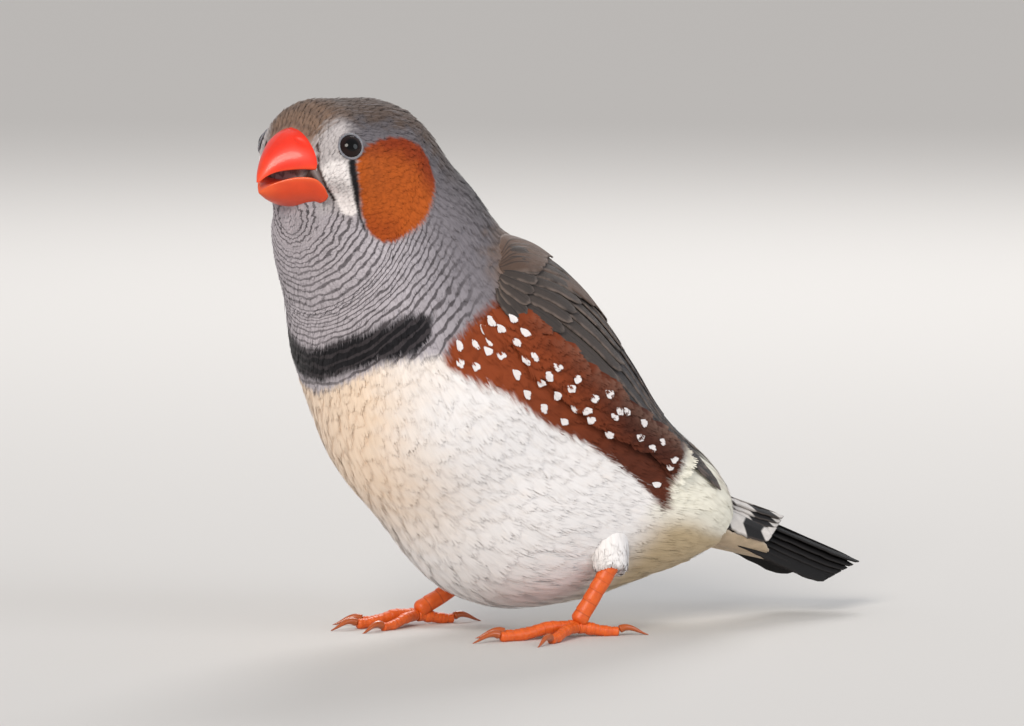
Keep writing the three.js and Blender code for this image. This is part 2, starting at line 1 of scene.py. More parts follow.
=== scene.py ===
# Male zebra finch, life size, standing at rest: skin, feathers, bill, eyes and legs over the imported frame.
import math
import bpy
import numpy as np
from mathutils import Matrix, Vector


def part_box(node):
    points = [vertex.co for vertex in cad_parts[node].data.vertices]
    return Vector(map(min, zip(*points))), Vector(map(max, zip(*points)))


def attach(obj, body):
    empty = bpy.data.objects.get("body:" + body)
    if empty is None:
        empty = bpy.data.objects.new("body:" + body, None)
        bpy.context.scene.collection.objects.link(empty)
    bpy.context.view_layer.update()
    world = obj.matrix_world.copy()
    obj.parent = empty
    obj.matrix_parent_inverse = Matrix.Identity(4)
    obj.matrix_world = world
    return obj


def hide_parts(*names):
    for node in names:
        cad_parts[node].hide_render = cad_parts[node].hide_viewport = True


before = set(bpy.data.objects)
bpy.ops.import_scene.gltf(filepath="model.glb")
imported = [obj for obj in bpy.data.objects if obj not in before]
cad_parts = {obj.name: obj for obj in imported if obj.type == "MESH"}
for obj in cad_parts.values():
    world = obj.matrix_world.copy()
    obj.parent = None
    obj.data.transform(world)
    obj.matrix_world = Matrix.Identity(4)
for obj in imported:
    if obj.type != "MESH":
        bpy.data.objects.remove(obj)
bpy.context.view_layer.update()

mm = 0.001
chance = np.random.default_rng(11)
coatMap = "OFBake"

# The body under the plumage, in millimetres: centre x and z, half-lengths along, across, upright, tilt
bodyShape = {
    "masses": {
        "cranium": (-25.0, 61.8, 9.7, 8.0, 8.4, 0),
        "face": (-33.8, 62.7, 3.3, 7.2, 6.0, 0),
        "nape": (-17.0, 52.0, 8.0, 8.8, 9.0, 45),
        "throat": (-25.8, 50.6, 9.0, 8.8, 6.8, 0),
        "crop": (-21.0, 41.0, 11.6, 12.2, 12.0, 0),
        "breast": (-14.0, 31.0, 14.6, 15.0, 14.6, 0),
        "mantle": (-5.5, 42.0, 9.5, 10.0, 8.0, 45),
        "back": (1.0, 33.5, 17.0, 13.2, 9.8, 48),
        "belly": (-4.0, 19.6, 15.4, 12.6, 15.2, 35),
        "seat": (6.0, 13.4, 9.0, 6.8, 7.2, 10),
        "vent": (12.5, 18.0, 12.0, 9.6, 8.2, 28),
        "rump": (20.0, 18.6, 9.0, 6.6, 4.8, 34),
    },
    "blend": 2.6,
    # small hollow beside the gape on each side: x, y, z, reach and depth
    "gape": (-35.4, 6.5, 57.9, 2.1, 1.8),
    # line through the body: x, z and the lean of the section there, in degrees
    "spine": [
        (-26.5, 57.5, 30),
        (-23.0, 51.0, 40),
        (-16.5, 42.0, 46),
        (-8.5, 32.5, 47),
        (1.0, 25.0, 46),
        (11.0, 20.0, 42),
        (21.0, 17.0, 34),
    ],
    "faceLean": -14,
    "tailLean": 30,
    "capShare": 0.16,
    "headTurn": 14.0,
    "turnX": -19.0,
    "turnStart": (-13.0, 40.0),
    "turnAlong": (-0.64, 0.77),
    "turnDelay": 1.0,
    "turnLength": 17.0,
    "reach": 36.0,
}


def mix(a, b, t):
    return a + (b - a) * t


def smooth(low, high, x):
    # soft step: 0 below low, 1 above high
    t = np.clip((x - low) / (high - low), 0, 1)
    return t * t * (3 - 2 * t)


def unit(a):
    return a / np.maximum(np.linalg.norm(a, axis=-1, keepdims=True), 1e-12)


def bodyField(p):
    # smooth union of tilted ellipsoids, minus blend times the log of the sum of exp(-distance / blend), less a hollow
    # that falls off from the gape on each side
    blend = bodyShape["blend"]
    total = np.zeros(p.shape[:-1])
    for x, z, along, across, upright, tilt in bodyShape["masses"].values():
        c, s = math.cos(math.radians(tilt)), math.sin(math.radians(tilt))
        dx, dz = p[..., 0] - x, p[..., 2] - z
        q = np.sqrt(((dx * c - dz * s) / along) ** 2 + (p[..., 1] / across) ** 2 + ((dx * s + dz * c) / upright) ** 2)
        total += np.exp(np.clip(-(q - 1) * min(along, across, upright) / blend, -60, 60))
    gx, gy, gz, reach, depth = bodyShape["gape"]
    away = (p[..., 0] - gx) ** 2 + (np.abs(p[..., 1]) - gy) ** 2 + (p[..., 2] - gz) ** 2
    return depth * np.exp(-away / reach**2) - blend * np.log(total)


def alongCurve(points, t):
    # smooth curve through points at t from 0 to 1, every coordinate by the same cubic of its four neighbours
    points = np.asarray(points, float)
    n = len(points) - 1
    i = np.clip(np.floor(t * n).astype(int), 0, n - 1)
    f = (t * n - i)[..., None]
    ends = np.vstack([2 * points[0] - points[1], points, 2 * points[-1] - points[-2]])
    a, b, c, d = ends[i], ends[i + 1], ends[i + 2], ends[i + 3]
    return 0.5 * (2 * b + (c - a) * f + (2 * a - 5 * b + 4 * c - d) * f**2 + (3 * b - a - 3 * c + d) * f**3)


def turnWithHead(p):
    # turn about an upright line through the neck, growing from none at the shoulders to the full angle at the head
    s = bodyShape
    rise = (p[..., 0] - s["turnStart"][0]) * s["turnAlong"][0] + (p[..., 2] - s["turnStart"][1]) * s["turnAlong"][1]
    w = smooth(0, 1, (rise - s["turnDelay"]) / s["turnLength"]) * math.radians(s["headTurn"])
    dx, y = p[..., 0] - s["turnX"], p[..., 1]
    return np.stack([s["turnX"] + dx * np.cos(w) - y * np.sin(w), dx * np.sin(w) + y * np.cos(w), p[..., 2]], -1)


def onBody(u, v, height=0.0):
    # point where a ray from the spine meets the body: u from face to tail root, v round from the back over the left
    s = bodyShape
    cap = s["capShare"]
    station = alongCurve(s["spine"], np.clip((u - cap) / (1 - 2 * cap), 0, 1))
    polar = np.where(u < cap, 1 - u / cap, np.where(u > 1 - cap, -(u - 1 + cap) / cap, 0))
    poleLean = np.where(polar > 0, s["faceLean"], s["tailLean"])
    lean = np.radians(station[..., 2] + (poleLean - station[..., 2]) * np.abs(polar))
    polar, angle = polar * np.pi / 2, v * 2 * np.pi
    side, ahead = np.cos(polar) * np.cos(angle), np.sin(polar)
    d = np.stack([
        side * np.sin(lean) - ahead * np.cos(lean),
        -np.cos(polar) * np.sin(angle),
        side * np.cos(lean) + ahead * np.sin(lean),
    ], -1)
    c = np.stack([station[..., 0], np.zeros_like(station[..., 0]), station[..., 1]], -1)
    low, high = np.zeros(u.shape), np.full(u.shape, s["reach"])
    for _ in range(24):
        middle = (low + high) / 2
        inside = bodyField(c + d * middle[..., None]) < height
        low, high = np.where(inside, middle, low), np.where(inside, high, middle)
    return turnWithHead(c + d * low[..., None])


def gridSurface(points, wrap):
    # grid of points with its outward normals and its length in millimetres for each unit of u and of v
    if wrap:
        ring = np.concatenate([points[:, -2:-1], points, points[:, 1:2]], 1)
        alongV = (ring[:, 2:] - ring[:, :-2]) / 2
    else:
        alongV = np.gradient(points, axis=1)
    alongU = np.gradient(points, axis=0)
    normal = unit(np.cross(alongV, alongU))
    rows, columns = points.shape[0] - 1, points.shape[1] - 1
    return {
        "points": points,
        "normals": normal,
        "perU": np.linalg.norm(alongU, axis=-1)[..., None] * rows,
        "perV": np.linalg.norm(alongV, axis=-1)[..., None] * columns,
        "wrap": wrap,
    }


def sample(values, u, v, wrap=True):
    # value of a grid at u, v, mixed from the four grid points round it
    rows, columns = values.shape[0] - 1, values.shape[1] - 1
    x = np.clip(u, 0, 1) * rows
    y = (np.mod(v, 1) if wrap else np.clip(v, 0, 1)) * columns
    i = np.minimum(x.astype(int), rows - 1)
    j = np.minimum(y.astype(int), columns - 1)
    fx, fy = (x - i)[..., None], (y - j)[..., None]
    near = values[i, j] * (1 - fy) + values[i, j + 1] * fy
    far = values[i + 1, j] * (1 - fy) + values[i + 1, j + 1] * fy
    return near * (1 - fx) + far * fx


def gridOf(rows, columns):
    return np.meshgrid(np.linspace(0, 1, rows + 1), np.linspace(0, 1, columns + 1), indexing="ij")


bodyU, bodyV = gridOf(300, 288)
body = gridSurface(onBody(bodyU, bodyV), True)
body["normals"][0] = body["normals"][1].mean(0)
body["normals"][-1] = body["normals"][-2].mean(0)
body["normals"] = unit(body["normals"])
print("body surface", body["points"].reshape(-1, 3).min(0), body["points"].reshape(-1, 3).max(0))

eyeShape = {"u": 0.087, "v": 0.150, "radius": 1.75, "opening": 1.42}


def eyeCentre(v):
    # centre of the eyeball, sunk so that its opening lies level with the plumage, and the way it looks
    u0, v0 = np.array([eyeShape["u"]]), np.array([v])
    step = 0.004
    du = onBody(u0 + step, v0) - onBody(u0 - step, v0)
    dv = onBody(u0, v0 + step) - onBody(u0, v0 - step)
    outward = unit(np.cross(dv, du))[0]
    sink = math.sqrt(eyeShape["radius"] ** 2 - eyeShape["opening"] ** 2)
    return onBody(u0, v0)[0] - outward * sink, outward


# The part's origin lies at the middle of its box, so the shift comes from the place of one eye
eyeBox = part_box("eye_left")
frameShift = np.array((eyeBox[0] + eyeBox[1]) / 2) / mm - eyeCentre(eyeShape["v"])[0]
print("shift", frameShift)


def toFrame(points):
    return (points + frameShift) * mm


def newPiece(name, points, faces, values=None, uvs=None, flat=False):
    # one mesh object from points in millimetres and a table of faces, each row with the same number of corners
    points = points.reshape(-1, 3)
    faces = np.asarray(faces)
    corners = faces.shape[1]
    mesh = bpy.data.meshes.new(name)
    mesh.vertices.add(len(points))
    mesh.vertices.foreach_set("co", toFrame(points).astype(np.float32).ravel())
    mesh.loops.add(faces.size)
    mesh.loops.foreach_set("vertex_index", faces.astype(np.int32).ravel())
    mesh.polygons.add(len(faces))
    mesh.polygons.foreach_set("loop_start", np.arange(0, faces.size, corners, dtype=np.int32))
    mesh.update(calc_edges=True)
    for key, data in (values or {}).items():
        data = data.reshape(len(points), -1)
        if key == "tone":
            layer = mesh.attributes.new(key, "FLOAT_COLOR", "POINT")
            data = np.concatenate([data, np.ones((len(data), 1))], 1)
            layer.data.foreach_set("color", data.astype(np.float32).ravel())
        else:
            layer = mesh.attributes.new(key, "FLOAT_VECTOR", "POINT")
            layer.data.foreach_set("vector", data.astype(np.float32).ravel())
    if uvs is not None:
        layer = mesh.uv_layers.new(name=coatMap)
        layer.data.foreach_set("uv", uvs.reshape(-1, 2)[faces.ravel()].astype(np.float32).ravel())
    mesh.polygons.foreach_set("use_smooth", np.full(len(faces), not flat))
    mesh.validate()
    piece = bpy.data.objects.new(name, mesh)
    bpy.context.collection.objects.link(piece)
    return piece


def finishPiece(piece, material, slot, *nodes):
    piece.data.materials.append(material)
    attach(piece, "root")
    if nodes:
        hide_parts(*nodes)
    return piece


def gridFaces(rows, columns, wrap=False, start=0):
    # corners of the quads of a grid with rows by columns points, closed round where wrap is set
    i, j = np.meshgrid(np.arange(rows - 1), np.arange(columns if wrap else columns - 1), indexing="ij")
    k = (j + 1) % columns
    quads = np.stack([i * columns + j, i * columns + k, (i + 1) * columns + k, (i + 1) * columns + j], -1)
    return quads.reshape(-1, 4) + start


# Markings of the plumage, as places on the body and colours in linear light
markings = {
    "nape": (0.072, 0.062, 0.066),
    "grey": (0.190, 0.172, 0.188),
    "throat": (0.46, 0.42, 0.45),
    "crown": (0.092, 0.062, 0.049),
    "forehead": (0.24, 0.155, 0.11),
    "lores": (0.52, 0.48, 0.48),
    "white": (0.88, 0.83, 0.82),
    "black": (0.010, 0.009, 0.011),
    "gapeSkin": (0.050, 0.024, 0.018),
    "cheek": (0.44, 0.088, 0.009),
    "cheekDark": (0.24, 0.030, 0.003),
    "mantle": (0.105, 0.076, 0.062),
    "back": (0.060, 0.046, 0.042),
    "belly": (0.82, 0.79, 0.78),
    "cream": (0.88, 0.70, 0.54),
    "vent": (0.52, 0.40, 0.24),
    "flank": (0.25, 0.046, 0.010),
    # flank chestnut in painted shade
    "flankInShade": (0.060, 0.011, 0.003),
    "rump": (0.84, 0.80, 0.68),
}
outlines = {
    "cheek": [
        (0.129, 0.124), (0.114, 0.136), (0.099, 0.156), (0.0895, 0.180), (0.0885, 0.203), (0.0912, 0.236),
        (0.0962, 0.275), (0.106, 0.306), (0.122, 0.330), (0.148, 0.337), (0.172, 0.318), (0.200, 0.275),
        (0.219, 0.240), (0.229, 0.190), (0.224, 0.145), (0.200, 0.125), (0.165, 0.118),
    ],
    "tear": [(0.0850, 0.180), (0.0850, 0.203), (0.0878, 0.236), (0.0928, 0.275), (0.1030, 0.308), (0.117, 0.331)],
    "stripe": [
        (0.057, 0.150), (0.057, 0.175), (0.0585, 0.208), (0.0625, 0.247), (0.072, 0.290), (0.088, 0.303),
        (0.0945, 0.288), (0.0890, 0.247), (0.0850, 0.208), (0.0830, 0.186), (0.076, 0.165), (0.065, 0.145),
    ],
    "jawLine": [(0.0665, 0.100), (0.0625, 0.122), (0.0580, 0.140), (0.0570, 0.175), (0.0570, 0.208), (0.0600, 0.242)],
    "flank": [
        (0.394, 0.310), (0.385, 0.286), (0.390, 0.236), (0.398, 0.186), (0.414, 0.154), (0.444, 0.150),
        (0.480, 0.150), (0.539, 0.146), (0.600, 0.138), (0.676, 0.128), (0.721, 0.143), (0.748, 0.178),
        (0.758, 0.233), (0.778, 0.283), (0.743, 0.266), (0.708, 0.250), (0.661, 0.241), (0.621, 0.238),
        (0.589, 0.241), (0.566, 0.250), (0.526, 0.257), (0.494, 0.262), (0.466, 0.271), (0.444, 0.287), (0.416, 0.302),
    ],
}
bandLine = [(0.300, 0.240), (0.337, 0.300), (0.326, 0.350), (0.303, 0.400), (0.296, 0.450), (0.301, 0.500)]
bellyLine = [(0.430, 0.240), (0.398, 0.290), (0.368, 0.335), (0.340, 0.390), (0.338, 0.450), (0.345, 0.500)]


def wander(x, y, seed, size=1.0, octaves=3):
    # smooth random value near -1 to 1: waves of random heading, each octave half as long and half as strong
    draw = np.random.default_rng(seed)
    total, weight = np.zeros(np.broadcast(x, y).shape), 0.0
    for octave in range(octaves):
        for _ in range(4):
            heading, phase = draw.uniform(0, 2 * np.pi, 2)
            rate = 2**octave / size * draw.uniform(0.7, 1.3) * 2 * np.pi
            total += np.sin((x * np.cos(heading) + y * np.sin(heading)) * rate + phase) / 2**octave
        weight += 2.2 / 2**octave
    return total / weight


def outlineDepth(u, w, name, perU, perV, closed=True):
    # distance in millimetres inside an outline of places, or from an open line where closed is not set
    ring = np.array(outlines[name] + (outlines[name][:1] if closed else []))
    line = alongCurve(ring, np.linspace(0, 1, 6 * len(ring))) * (perU, perV)
    x, y = u * perU, w * perV
    nearest, crossings = np.full(x.shape, 1e9), np.zeros(x.shape, int)
    for (ax, ay), (bx, by) in zip(line[:-1], line[1:]):
        ex, ey = bx - ax, by - ay
        t = np.clip(((x - ax) * ex + (y - ay) * ey) / max(ex * ex + ey * ey, 1e-9), 0, 1)
        nearest = np.minimum(nearest, np.hypot(x - ax - ex * t, y - ay - ey * t))
        if closed and abs(ey) > 1e-9:
            crossings += ((ay > y) != (by > y)) & (x < ax + ex * (y - ay) / ey)
    return np.where(crossings % 2 == 1, nearest, -nearest) if closed else nearest


def lineAcross(line, w):
    # u of a line drawn round the body, at w from the back to the breast
    places = alongCurve(line, np.linspace(0, 1, 60))
    return np.interp(w, places[:, 1], places[:, 0])


def paint(colour, new, mask):
    return mix(colour, np.asarray(new), np.clip(mask, 0, 1)[..., None])


def plumageMarks(u, v):
    # colour and strength of bars, streaks and scallops at u, v, alike on both sides of the body
    m = {key: np.asarray(value) for key, value in markings.items()}
    w = np.minimum(np.mod(v, 1), 1 - np.mod(v, 1))
    ragged = wander(u * 90, v * 90, 3, 2.2)
    fine = wander(u * 90, v * 90, 5, 0.9)
    chinShare = smooth(0.050, 0.036, u)
    colour = mix(m["nape"], m["grey"], smooth(0.05, 0.19, w)[..., None])
    colour = paint(colour, m["throat"], np.maximum(smooth(0.17, 0.36, w), chinShare))
    capLine = 0.095 + 0.02 * ragged + 0.05 * smooth(0.09, 0.06, u)
    crown = smooth(capLine + 0.02, capLine - 0.02, w) * smooth(0.30, 0.20, u + 0.01 * ragged) * (1 - chinShare)
    colour = paint(colour, m["crown"], crown)
    foreheadMask = smooth(0.105, 0.070, u + 0.006 * fine) * smooth(0.13, 0.07, w) * (1 - chinShare)
    colour = paint(colour, m["forehead"], foreheadMask)
    face = smooth(0.098, 0.084, u + 0.003 * fine) * smooth(0.070, 0.105, w + 0.01 * fine) * (1 - chinShare)
    colour = paint(colour, m["lores"], face * smooth(0.32, 0.24, w))
    stripe = outlineDepth(u, w, "stripe", 116, 52)
    colour = paint(colour, m["white"], smooth(-0.25, 0.30, stripe + 0.15 * fine) * smooth(0.135, 0.165, w))
    mantleMask = smooth(0.33, 0.40, u + 0.02 * ragged) * smooth(0.19, 0.13, w)
    colour = paint(colour, mix(m["mantle"], m["back"], smooth(0.45, 0.65, u)[..., None]), mantleMask)
    bandU = lineAcross(bandLine, w)
    bandHalf = 0.030 * smooth(0.285, 0.335, w) + 0.002
    band = smooth(1.0, 0.72, np.abs(u - bandU + 0.004 * ragged) / bandHalf) * smooth(0.285, 0.31, w)
    colour = paint(colour, m["black"], band)
    edge = lineAcross(bellyLine, w)
    below = smooth(edge - 0.003, edge + 0.005, u + 0.004 * fine) * smooth(0.17, 0.20, w)
    creamShare = smooth(0.34, 0.47, w) * smooth(0.62, 0.46, u) + 0.3 * smooth(0.24, 0.32, w) * smooth(0.45, 0.38, u)
    belly = mix(m["belly"], m["cream"], (np.clip(creamShare + 0.12 * ragged, 0, 1))[..., None])
    ventShare = smooth(0.74, 0.82, u) * smooth(0.24, 0.32, w)
    belly = mix(belly, m["vent"], ventShare[..., None])
    colour = paint(colour, belly, below)
    rearRows = smooth(0.80, 0.83, u) * smooth(0.20, 0.17, w)
    rearBars = smooth(-0.1, 0.3, np.sin(2 * np.pi * (u * 26 + 1.6 * np.sin(w * 30))))
    colour = paint(colour, mix(m["black"], m["rump"], rearBars[..., None]), rearRows)
    rump = smooth(0.74, 0.765, u) * smooth(0.33, 0.26, w) * smooth(0.10, 0.14, w)
    colour = paint(colour, m["rump"], rump)
    flank = outlineDepth(u, w, "flank", 104, 105)
    # painted shade: the chestnut darkens towards the tail and under the wing's lower edge, with some random tone
    flankShadeShare = smooth(0.44, 0.70, u) * 0.85 + 0.12 * ragged + 0.35 * smooth(0.21, 0.18, w)
    flankMask = smooth(-0.40, 0.30, flank + 0.45 * fine + 0.25 * ragged)
    colour = paint(colour, mix(m["flank"], m["flankInShade"], np.clip(flankShadeShare, 0, 1)[..., None]), flankMask)
    cheek = outlineDepth(u, w, "cheek", 82, 72)
    shade = smooth(0.19, 0.13, w) + 0.55 * smooth(0.26, 0.33, w) + 0.15 * ragged
    cheekMask = smooth(-0.22, 0.22, cheek + 0.22 * fine)
    colour = paint(colour, mix(m["cheek"], m["cheekDark"], np.clip(shade, 0, 1)[..., None]), cheekMask)
    tear = outlineDepth(u, w, "tear", 116, 60, closed=False)
    tearHalf = 0.40 - 0.22 * smooth(0.23, 0.32, w)
    tearMask = smooth(tearHalf + 0.10, tearHalf - 0.12, tear + 0.07 * fine)
    colour = paint(colour, m["black"], tearMask)
    jaw = outlineDepth(u, w, "jawLine", 116, 50, closed=False)
    jawMask = smooth(0.30, 0.12, jaw + 0.08 * fine)
    colour = paint(colour, m["gapeSkin"] * mix(1.0, 0.35, smooth(0.17, 0.20, w)[..., None]), jawMask)
    mouth = smooth(0.056, 0.052, u) * smooth(0.032, 0.038, u) * smooth(0.09, 0.12, w) * smooth(0.20, 0.175, w)
    colour = paint(colour, m["gapeSkin"], mouth)
    bars = np.maximum(smooth(0.165, 0.26, w), chinShare) * smooth(0.010, 0.022, u) * (1 - below) * (1 - cheekMask)
    bars = bars * (1 - flankMask) * (1 - tearMask) * (1 - jawMask) * smooth(0.1, -0.5, stripe)
    bars = bars * (1 - 0.25 * smooth(0.38, 0.5, w)) * (1 - mouth) * smooth(0.052, 0.062, u + 0.5 * chinShare)
    bars = np.maximum(bars * (1 - crown), foreheadMask * 0.30)
    streaks = np.clip(crown * 0.6 + smooth(0.24, 0.14, w) * smooth(0.10, 0.16, u) * smooth(0.42, 0.34, u), 0, 1)
    return colour, np.stack([bars, streaks * (1 - cheekMask), mantleMask], -1)


markU, markV = gridOf(1000, 720)
toneGrid, marksGrid = plumageMarks(markU, markV)
sideLine = body["points"][:, 72]
sideLength = np.concatenate([[0], np.cumsum(np.linalg.norm(np.diff(sideLine, axis=0), axis=1))])
# Bars from the chin to a place u: the first times u less the second times its square
barRate = (108.0, 60.0)
print("markings ready")


def coatValues(u, v):
    # colour, marks and place in millimetres for coat and skin points alike
    w = np.minimum(np.mod(v, 1), 1 - np.mod(v, 1))
    along = np.interp(u, np.linspace(0, 1, len(sideLength)), sideLength)
    return {
        "tone": sample(toneGrid, u, v),
        "marks": sample(marksGrid, u, v),
        "place": np.stack([along, w * 105 + 400 * (np.mod(v, 1) > 0.5), barRate[0] * u - barRate[1] * u**2], -1),
    }


# Shader helpers
def addNode(tree, kind, inputs=None, **settings):
    node = tree.nodes.new(kind)
    for key, value in settings.items():
        setattr(node, key, value)
    for key, value in (inputs or {}).items():
        if isinstance(value, bpy.types.NodeSocket):
            tree.links.new(value, node.inputs[key])
        else:
            node.inputs[key].default_value = value
    return node


def math2(tree, operation, a, b=0.0, clamp=False):
    return addNode(tree, "ShaderNodeMath", {0: a, 1: b}, operation=operation, use_clamp=clamp).outputs[0]


def softStep(tree, value, low, high):
    node = addNode(tree, "ShaderNodeMapRange", {"Value": value, "From Min": low, "From Max": high},
                   interpolation_type="SMOOTHSTEP")
    return node.outputs["Result"]


def mixColour(tree, share, a, b, blend="MIX"):
    node = addNode(tree, "ShaderNodeMix", {0: share, 6: a, 7: b}, data_type="RGBA", blend_type=blend)
    return node.outputs[2]


def newGroup(name, inputs, outputs):
    # empty node group with named sockets: inputs as name, kind, value and outputs as name, kind
    group = bpy.data.node_groups.new(name, "ShaderNodeTree")
    for label, kind, value in inputs:
        socket = group.interface.new_socket(name=label, in_out="INPUT", socket_type=kind)
        if value is not None:
            socket.default_value = value
    for label, kind in outputs:
        group.interface.new_socket(name=label, in_out="OUTPUT", socket_type=kind)
    return group, group.nodes.new("NodeGroupInput"), group.nodes.new("NodeGroupOutput")


def attribute(tree, name):
    return addNode(tree, "ShaderNodeAttribute", attribute_name=name)


def barsGroup():
    # wavy dark bars round the body: a sine of the bar count, moved by noise and thinned here and there
    tree, given, out = newGroup("wavyBars", [
        ("Place", "NodeSocketVector", None), ("Strength", "NodeSocketFloat", 1.0), ("Shift", "NodeSocketFloat", 0.0),
    ], [("Mask", "NodeSocketFloat")])
    parts = addNode(tree, "ShaderNodeSeparateXYZ", {0: given.outputs["Place"]})
    noise = addNode(tree, "ShaderNodeTexNoise", {"Vector": given.outputs["Place"], "Scale": 0.30, "Detail": 2.0})
    moved = math2(tree, "MULTIPLY", math2(tree, "SUBTRACT", noise.outputs[0], 0.5), 1.5)
    phase = math2(tree, "ADD", math2(tree, "ADD", parts.outputs[2], moved), given.outputs["Shift"])
    wave = math2(tree, "SINE", math2(tree, "MULTIPLY", phase, 2 * math.pi))
    broken = addNode(tree, "ShaderNodeTexNoise", {"Vector": given.outputs["Place"], "Scale": 0.9, "Detail": 2.0})
    thin = math2(tree, "MULTIPLY", math2(tree, "SUBTRACT", broken.outputs[0], 0.5), 1.6)
    mask = softStep(tree, math2(tree, "SUBTRACT", wave, thin), 0.10, 0.90)
    tree.links.new(math2(tree, "MULTIPLY", mask, given.outputs["Strength"]), out.inputs["Mask"])
    return tree


def streaksGroup():
    # fine pale streaks along the body: noise drawn out along it
    tree, given, out = newGroup("fineStreaks", [
        ("Place", "NodeSocketVector", None), ("Strength", "NodeSocketFloat", 1.0),
    ], [("Mask", "NodeSocketFloat")])
    drawn = addNode(tree, "ShaderNodeVectorMath", {0: given.outputs["Place"], 1: (0.45, 2.6, 0.0)}, operation="MULTIPLY")
    noise = addNode(tree, "ShaderNodeTexNoise", {"Vector": drawn.outputs[0], "Scale": 1.0, "Detail": 3.0})
    mask = softStep(tree, noise.outputs[0], 0.50, 0.68)
    tree.links.new(math2(tree, "MULTIPLY", mask, given.outputs["Strength"]), out.inputs["Mask"])
    return tree


def strandGroup():
    # light and dark from barb to barb, fine streaks along each, and painted shade towards the root, standing in for the
    # shadow under the overlapping feathers
    tree, given, out = newGroup("strandTone", [
        ("Barb", "NodeSocketVector", None), ("Place", "NodeSocketVector", None), ("Contrast", "NodeSocketFloat", 0.3),
        ("Root Painted Shade", "NodeSocketFloat", 0.3),
    ], [("Value", "NodeSocketFloat")])
    barb = addNode(tree, "ShaderNodeSeparateXYZ", {0: given.outputs["Barb"]})
    noise = addNode(tree, "ShaderNodeTexNoise", {"Vector": given.outputs["Place"], "Scale": 0.55, "Detail": 4.0})
    value = math2(tree, "MULTIPLY", math2(tree, "SUBTRACT", barb.outputs[2], 0.5), given.outputs["Contrast"])
    broad = math2(tree, "MULTIPLY", math2(tree, "SUBTRACT", noise.outputs[0], 0.5), given.outputs["Contrast"])
    value = math2(tree, "ADD", math2(tree, "ADD", value, broad), 1.0)
    # painted shade: the colour darkens towards the root of each barb
    root = math2(tree, "MULTIPLY", softStep(tree, barb.outputs[1], 0.75, 0.1), given.outputs["Root Painted Shade"])
    value = math2(tree, "MULTIPLY", value, math2(tree, "SUBTRACT", 1.0, root))
    tree.links.new(value, out.inputs["Value"])
    return tree


groups = {"bars": barsGroup(), "streaks": streaksGroup(), "strand": strandGroup()}


def newMaterial(name, **settings):
    material = bpy.data.materials.new(name)
    material.use_nodes = True
    shader = material.node_tree.nodes["Principled BSDF"]
    for key, value in settings.items():
        shader.inputs[key].default_value = value
    return material, material.node_tree, shader


def useGroup(tree, name, inputs):
    node = addNode(tree, "ShaderNodeGroup", node_tree=groups[name])
    for key, value in inputs.items():
        if isinstance(value, bpy.types.NodeSocket):
            tree.links.new(value, node.inputs[key])
        else:
            node.inputs[key].default_value = value
    return node.outputs[0]


def plumageMaterial(name, contrast, rootPaintedShade, sheen):
    # painted plumage: the zone colour, dark bars, pale streaks, pale scallops, the tone of each strand and painted
    # shade towards each root
    material, tree, shader = newMaterial(name, **{
        "Roughness": 0.82, "Sheen Weight": sheen, "Sheen Roughness": 0.5, "Specular IOR Level": 0.2,
    })
    tone, place = attribute(tree, "tone"), attribute(tree, "place")
    barb, marks = attribute(tree, "barb"), attribute(tree, "marks")
    split = addNode(tree, "ShaderNodeSeparateXYZ", {0: marks.outputs["Vector"]})
    barbSplit = addNode(tree, "ShaderNodeSeparateXYZ", {0: barb.outputs["Vector"]})
    shift = math2(tree, "MULTIPLY", barbSplit.outputs[2], 0.07)
    bars = useGroup(tree, "bars", {"Place": place.outputs["Vector"], "Strength": split.outputs[0], "Shift": shift})
    streaks = useGroup(tree, "streaks", {"Place": place.outputs["Vector"], "Strength": split.outputs[1]})
    colour = mixColour(tree, math2(tree, "MULTIPLY", streaks, 0.45), tone.outputs["Color"], (0.24, 0.22, 0.23, 1))
    colour = mixColour(tree, math2(tree, "MULTIPLY", bars, 0.80), colour, (0.050, 0.042, 0.046, 1))
    rim = math2(tree, "MULTIPLY", softStep(tree, barbSplit.outputs[1], 0.62, 0.95), split.outputs[2])
    colour = mixColour(tree, math2(tree, "MULTIPLY", rim, 0.5), colour, (0.30, 0.19, 0.14, 1))
    value = useGroup(tree, "strand", {
        "Barb": barb.outputs["Vector"], "Place": place.outputs["Vector"], "Contrast": contrast, "Root Painted Shade": rootPaintedShade,
    })
    colour = addNode(tree, "ShaderNodeVectorMath", {0: colour, 3: value}, operation="SCALE").outputs[0]
    tree.links.new(colour, shader.inputs["Base Color"])
    return material


# strand contrast, painted shade towards the root, and sheen
greyPlumage = plumageMaterial("greyPlumage", 0.20, 0.12, 0.12)
whitePlumage = plumageMaterial("whitePlumage", 0.08, 0.03, 0.15)

# Depth of the coat over the skin in millimetres, from the face to the tail root
coatDepth = {
    "u": [0.0, 0.06, 0.12, 0.20, 0.34, 0.50, 0.90, 1.0],
    "depth": [0.14, 0.15, 0.20, 0.26, 0.32, 0.34, 0.34, 0.30],
}


def depthAt(u):
    return np.interp(u, coatDepth["u"], coatDepth["depth"])


